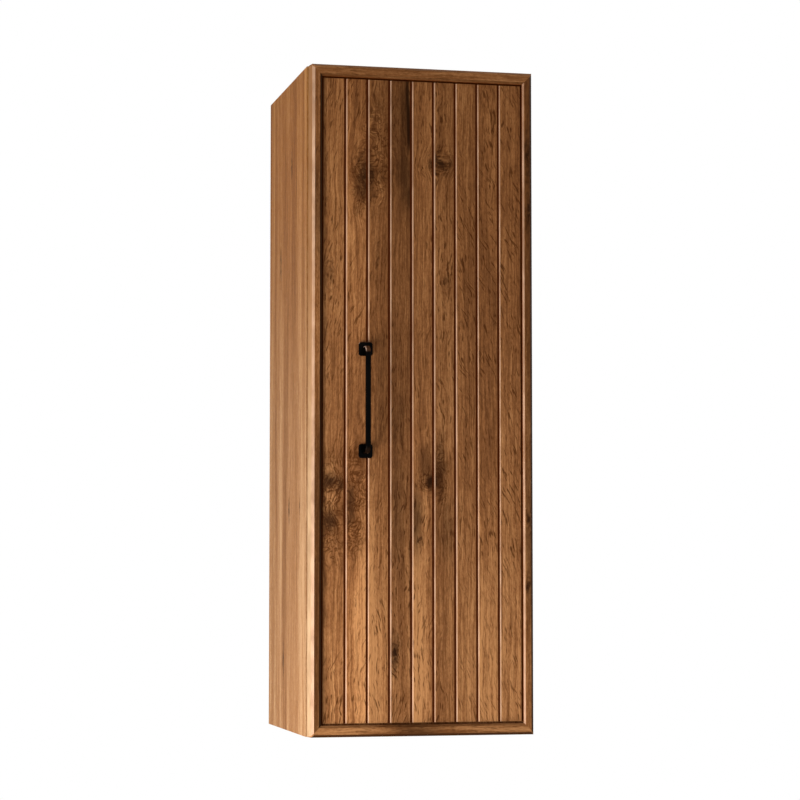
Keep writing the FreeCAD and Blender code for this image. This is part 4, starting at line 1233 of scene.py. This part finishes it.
class ScrewTree:
    """Geometry Nodes that set cross-slotted screws on points."""

    TURN = "turn"
    HEAD_SIDES = 28
    SHANK_SIDES = 20
    SLOT_LENGTH = 1.15
    SLOT_WIDTH = 0.24
    SEED = 7

    def __init__(self) -> None:
        """Build the tree with its named inputs."""
        self.board = NodeBoard(bpy.data.node_groups.new("cross_slotted_screws", "GeometryNodeTree"))
        self.inputs: dict[str, str] = {}
        self._declare("points", "NodeSocketGeometry")
        for field in fields(ScrewSize):
            self._declare(field.name, "NodeSocketFloat")
        self._declare("finish", "NodeSocketMaterial")
        face = self.board.tree.interface
        face.new_socket("screws", in_out="OUTPUT", socket_type="NodeSocketGeometry")
        self._fill()

    def _declare(self, name: str, kind: str) -> None:
        """Add a named input and keep its identifier."""
        face = self.board.tree.interface
        self.inputs[name] = face.new_socket(name, in_out="INPUT", socket_type=kind).identifier

    def _raised(self, geometry: Value, height: Feed) -> Value:
        """Move a geometry up by a height."""
        offset = self.board.join(0.0, 0.0, height)
        return self.board.make("GeometryNodeTransform", {}, {"Geometry": geometry, "Translation": offset})

    def _head(self, given: Mapping[str, Value]) -> Value:
        """Make the head with its cross slot.

        Args:
            given: The tree's inputs by name.

        Returns:
            The head, standing on its base.
        """
        height = given["head_height"]
        cone: dict[Key, Feed] = {
            "Vertices": self.HEAD_SIDES,
            "Radius Top": given["top_radius"],
            "Radius Bottom": given["foot_radius"],
            "Depth": height,
        }
        head = self._raised(self.board.make("GeometryNodeMeshCone", {}, cone), given["head_base"])
        top = given["head_base"] + height
        long = given["top_radius"] * self.SLOT_LENGTH
        slim = given["top_radius"] * self.SLOT_WIDTH
        for wide, deep in ((long, slim), (slim, long)):
            size = self.board.join(wide, deep, height)
            slot = self._raised(self.board.make("GeometryNodeMeshCube", {}, {"Size": size}), top)
            head = self.board.make("GeometryNodeMeshBoolean", {"operation": "DIFFERENCE"}, {0: head, 1: slot})
        return head

    def _fill(self) -> None:
        """Lay out the screw, its placing on the points and its finish."""
        board = self.board
        start = board.add("NodeGroupInput", {}, {})
        given = {socket.name: Value(board, socket) for socket in start.outputs}
        length = given["shank_length"]
        rod = {"Vertices": self.SHANK_SIDES, "Radius": given["shank_radius"], "Depth": length}
        shank = self._raised(board.make("GeometryNodeMeshCylinder", {}, rod), length * -0.5)
        screw = board.make("GeometryNodeJoinGeometry", {}, {0: self._head(given)})
        board.feed(screw.socket.node.inputs[0], shank)
        settings = {"data_type": "FLOAT_VECTOR"}
        turn = board.make("GeometryNodeInputNamedAttribute", settings, {"Name": self.TURN}, "Attribute")
        sockets = {"Points": given["points"], "Instance": screw, "Rotation": turn}
        placed = board.make("GeometryNodeInstanceOnPoints", {}, sockets)
        roll = {2: 0.0, 3: math.pi, "Seed": self.SEED}
        spin = board.join(0.0, 0.0, board.make("FunctionNodeRandomValue", {"data_type": "FLOAT"}, roll, 1))
        sockets = {"Instances": placed, "Rotation": spin, "Local Space": True}
        spun = board.make("GeometryNodeRotateInstances", {}, sockets)
        real = board.make("GeometryNodeRealizeInstances", {}, {0: spun})
        sockets = {"Geometry": real, "Material": given["finish"]}
        board.add("NodeGroupOutput", {}, {0: board.make("GeometryNodeSetMaterial", {}, sockets)})

    def build(self, screws: ScrewSet, finish: bpy.types.Material) -> bpy.types.Object:
        """Make one set of screws as a plain mesh.

        Args:
            screws: The set.
            finish: Its material.

        Returns:
            The new object, at the origin.
        """
        points = bpy.data.meshes.new(screws.name)
        points.from_pydata([seat.place for seat in screws.seats], [], [])
        turns = points.attributes.new(self.TURN, "FLOAT_VECTOR", "POINT")
        for item, seat in zip(turns.data, screws.seats):
            item.vector = seat.turn.value
        piece = put(screws.name, points)
        modifier = piece.modifiers.new("screws", "NODES")
        modifier.node_group = self.board.tree
        for name, size in asdict(screws.size).items():
            modifier[self.inputs[name]] = size
        modifier[self.inputs["finish"]] = finish
        evaluated = piece.evaluated_get(bpy.context.evaluated_depsgraph_get())
        piece.data = bpy.data.meshes.new_from_object(evaluated)
        piece.modifiers.clear()
        return piece


@dataclass
class Hardware:
    """Hinge plates, catch, shelf pins and every screw."""

    steel_nodes: tuple[str, ...] = (
        "shelf_pins",
        "pivot_plate_top",
        "pivot_plate_bottom",
        "pivot_pins",
        "catch_strike_plate",
    )
    nylon_nodes: tuple[str, ...] = ("pivot_bush_top", "pivot_bush_bottom", "catch_housing")
    magnet_nodes: tuple[str, ...] = ("catch_magnet",)
    bumper_nodes: tuple[str, ...] = ("door_bumpers",)
    steel: SteelFinish = SteelFinish("zinc_plated")
    nylon: MouldedFinish = MouldedFinish("moulded_nylon", (0.66, 0.64, 0.59), (0.55, 0.53, 0.48))
    ferrite: MouldedFinish = MouldedFinish(
        "pressed_ferrite", (0.03, 0.03, 0.032), (0.045, 0.043, 0.042), roughness=0.62
    )
    rubber: MouldedFinish = MouldedFinish(
        "soft_clear_dot", (0.58, 0.58, 0.56), (0.48, 0.48, 0.46), roughness=0.38
    )
    screw_slot: str = "zinc_steel"
    pull_screws: ScrewSet = ScrewSet(
        name="pull_screws",
        node="handle_screws",
        body=Body.DOOR,
        seats=column(x=-0.092111, y=-0.338, heights=(0.078, -0.082), turn=Turn.HEAD_BACK),
        size=ScrewSize(
            top_radius=0.003, foot_radius=0.004, head_base=0.0, head_height=0.0022,
            shank_radius=0.002, shank_length=0.024,
        ),
    )
    strike_screws: ScrewSet = ScrewSet(
        name="strike_plate_screws",
        node="strike_screws",
        body=Body.DOOR,
        seats=column(x=-0.158, y=-0.336, heights=(0.013, -0.013), turn=Turn.HEAD_BACK),
        size=ScrewSize(
            top_radius=0.0025, foot_radius=0.00125, head_base=-0.00125, head_height=0.00125,
            shank_radius=0.00125, shank_length=0.011,
        ),
    )
    catch_screws: ScrewSet = ScrewSet(
        name="catch_ear_screws",
        node="catch_screws",
        body=Body.CARCASS,
        seats=column(x=-0.1625, y=-0.3278, heights=(0.0285, -0.0285), turn=Turn.HEAD_RIGHT),
        size=ScrewSize(
            top_radius=0.0022, foot_radius=0.003, head_base=0.0, head_height=0.0012,
            shank_radius=0.0015, shank_length=0.012,
        ),
    )
    plate_screws: ScrewSet = ScrewSet(
        name="hinge_plate_screws",
        node="pivot_plate_screws",
        body=Body.CARCASS,
        seats=top_and_bottom(level=0.5205, holes=((0.1735, -0.326), (0.1735, -0.314), (0.1475, -0.326))),
        size=ScrewSize(
            top_radius=0.00315, foot_radius=0.00175, head_base=-0.0014, head_height=0.0014,
            shank_radius=0.00175, shank_length=0.011,
        ),
    )

    def build(self) -> None:
        """Build the slotted screws and let them stand for the plain ones."""
        steel = dress(self.steel_nodes, self.steel)
        tree = ScrewTree()
        for screws in (self.pull_screws, self.strike_screws, self.catch_screws, self.plate_screws):
            piece = tree.build(screws, steel)
            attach(piece, screws.body.value)
            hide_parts(screws.node)
            LOG.info("%s: %d faces", piece.name, len(piece.data.polygons))

    def dress(self) -> None:
        """Finish the moulded pieces."""
        dress(self.nylon_nodes, self.nylon)
        dress(self.magnet_nodes, self.ferrite)
        dress(self.bumper_nodes, self.rubber)


@dataclass(frozen=True)
class Lamp:
    """A square softbox: where it hangs, what it faces, its side in metres and its watts."""

    name: str
    place: Point
    aim: Point
    size: float
    power: float

    def hang(self) -> None:
        """Hang the softbox."""
        data = bpy.data.lights.new(self.name, "AREA")
        data.shape = "SQUARE"
        data.size = self.size
        data.energy = self.power
        box = put(self.name, data)
        box.location = self.place
        box.rotation_euler = (Vector(self.aim) - Vector(self.place)).to_track_quat("-Z", "Y").to_euler()


@dataclass
class Studio:
    """Camera, softboxes, pale floor and white surround."""

    eye: Point = (-0.8886, -4.0994, -0.2674)
    yaw: float = math.radians(12.815)
    pitch: float = math.radians(3.593)
    lens: float = 110.525
    sensor: float = 36.0
    rise: float = 0.02
    floor_height: float = -1.40
    floor_size: float = 7.0
    floor_dark: Colour = (0.86, 0.86, 0.85)
    floor_light: Colour = (0.9, 0.9, 0.89)
    white: Colour = (1.0, 1.0, 1.0)
    soft: float = 0.4
    lamps: tuple[Lamp, ...] = (
        Lamp("key_softbox", (-1.3, -1.05, -1.0), (0.0, -0.25, -0.25), 1.0, 40.0),
        Lamp("front_fill", (-0.6, -3.0, -0.5), (0.0, -0.2, -0.2), 1.8, 2.0),
        Lamp("right_fill", (1.9, 0.9, 0.4), (0.18, -0.1, 0.0), 1.2, 18.0),
        Lamp("back_fill", (0.9, 2.3, 0.5), (0.0, 0.0, 0.0), 1.4, 28.0),
        Lamp("top_fill", (0.9, 0.7, 2.7), (0.0, -0.1, 0.0), 1.4, 18.0),
    )

    def build(self) -> None:
        """Set up the whole stage."""
        bpy.context.scene.view_settings.view_transform = "Standard"
        self.add_camera()
        self.add_world()
        self.add_floor()
        for lamp in self.lamps:
            lamp.hang()

    def add_camera(self) -> None:
        """Stand the camera where the photograph was taken."""
        data = bpy.data.cameras.new("camera")
        data.lens = self.lens
        data.sensor_width = self.sensor
        data.shift_y = self.rise
        camera = put("camera", data)
        camera.location = self.eye
        camera.rotation_euler = (math.pi / 2 + self.pitch, 0.0, -self.yaw)
        bpy.context.scene.camera = camera

    def add_world(self) -> None:
        """Light all round softly, and show white to the camera and in mirrors."""
        world = bpy.data.worlds.new("white_surround")
        world.use_nodes = True
        board = NodeBoard(world.node_tree)
        around = board.make("ShaderNodeBackground", {}, {"Color": self.white, "Strength": self.soft})
        behind = board.make("ShaderNodeBackground", {}, {"Color": self.white, "Strength": 1.0})
        direct = board.make("ShaderNodeLightPath", {}, {}, "Is Camera Ray")
        seen = direct.most(direct.part("Is Glossy Ray")).most(direct.part("Is Transmission Ray"))
        blend = board.make("ShaderNodeMixShader", {}, {0: seen, 1: around, 2: behind})
        board.add("ShaderNodeOutputWorld", {}, {0: blend})
        bpy.context.scene.world = world

    def add_floor(self) -> None:
        """Lay the pale floor well below the cabinet."""
        half = self.floor_size / 2
        sides = ((-half, -half), (half, -half), (half, half), (-half, half))
        mesh = bpy.data.meshes.new("floor")
        mesh.from_pydata([(x, y, self.floor_height) for x, y in sides], [], [(0, 1, 2, 3)])
        floor = put("floor", mesh)
        surface = Surface("pale_floor")
        speck = surface.noise(surface.place(), (3.0, 3.0, 3.0), 3.0)
        surface.set(Base_Color=surface.mix(speck, self.floor_dark, self.floor_light), Roughness=0.9)
        mesh.materials.append(surface.material)


def main() -> None:
    """Dress the cabinet, build its screws and set the stage."""
    logging.basicConfig(level=logging.INFO, format="%(name)s: %(message)s")
    Carcass().dress()
    Door().dress()
    PullHandle().dress()
    hardware = Hardware()
    hardware.build()
    hardware.dress()
    Studio().build()


if __name__ == "__main__":
    main()
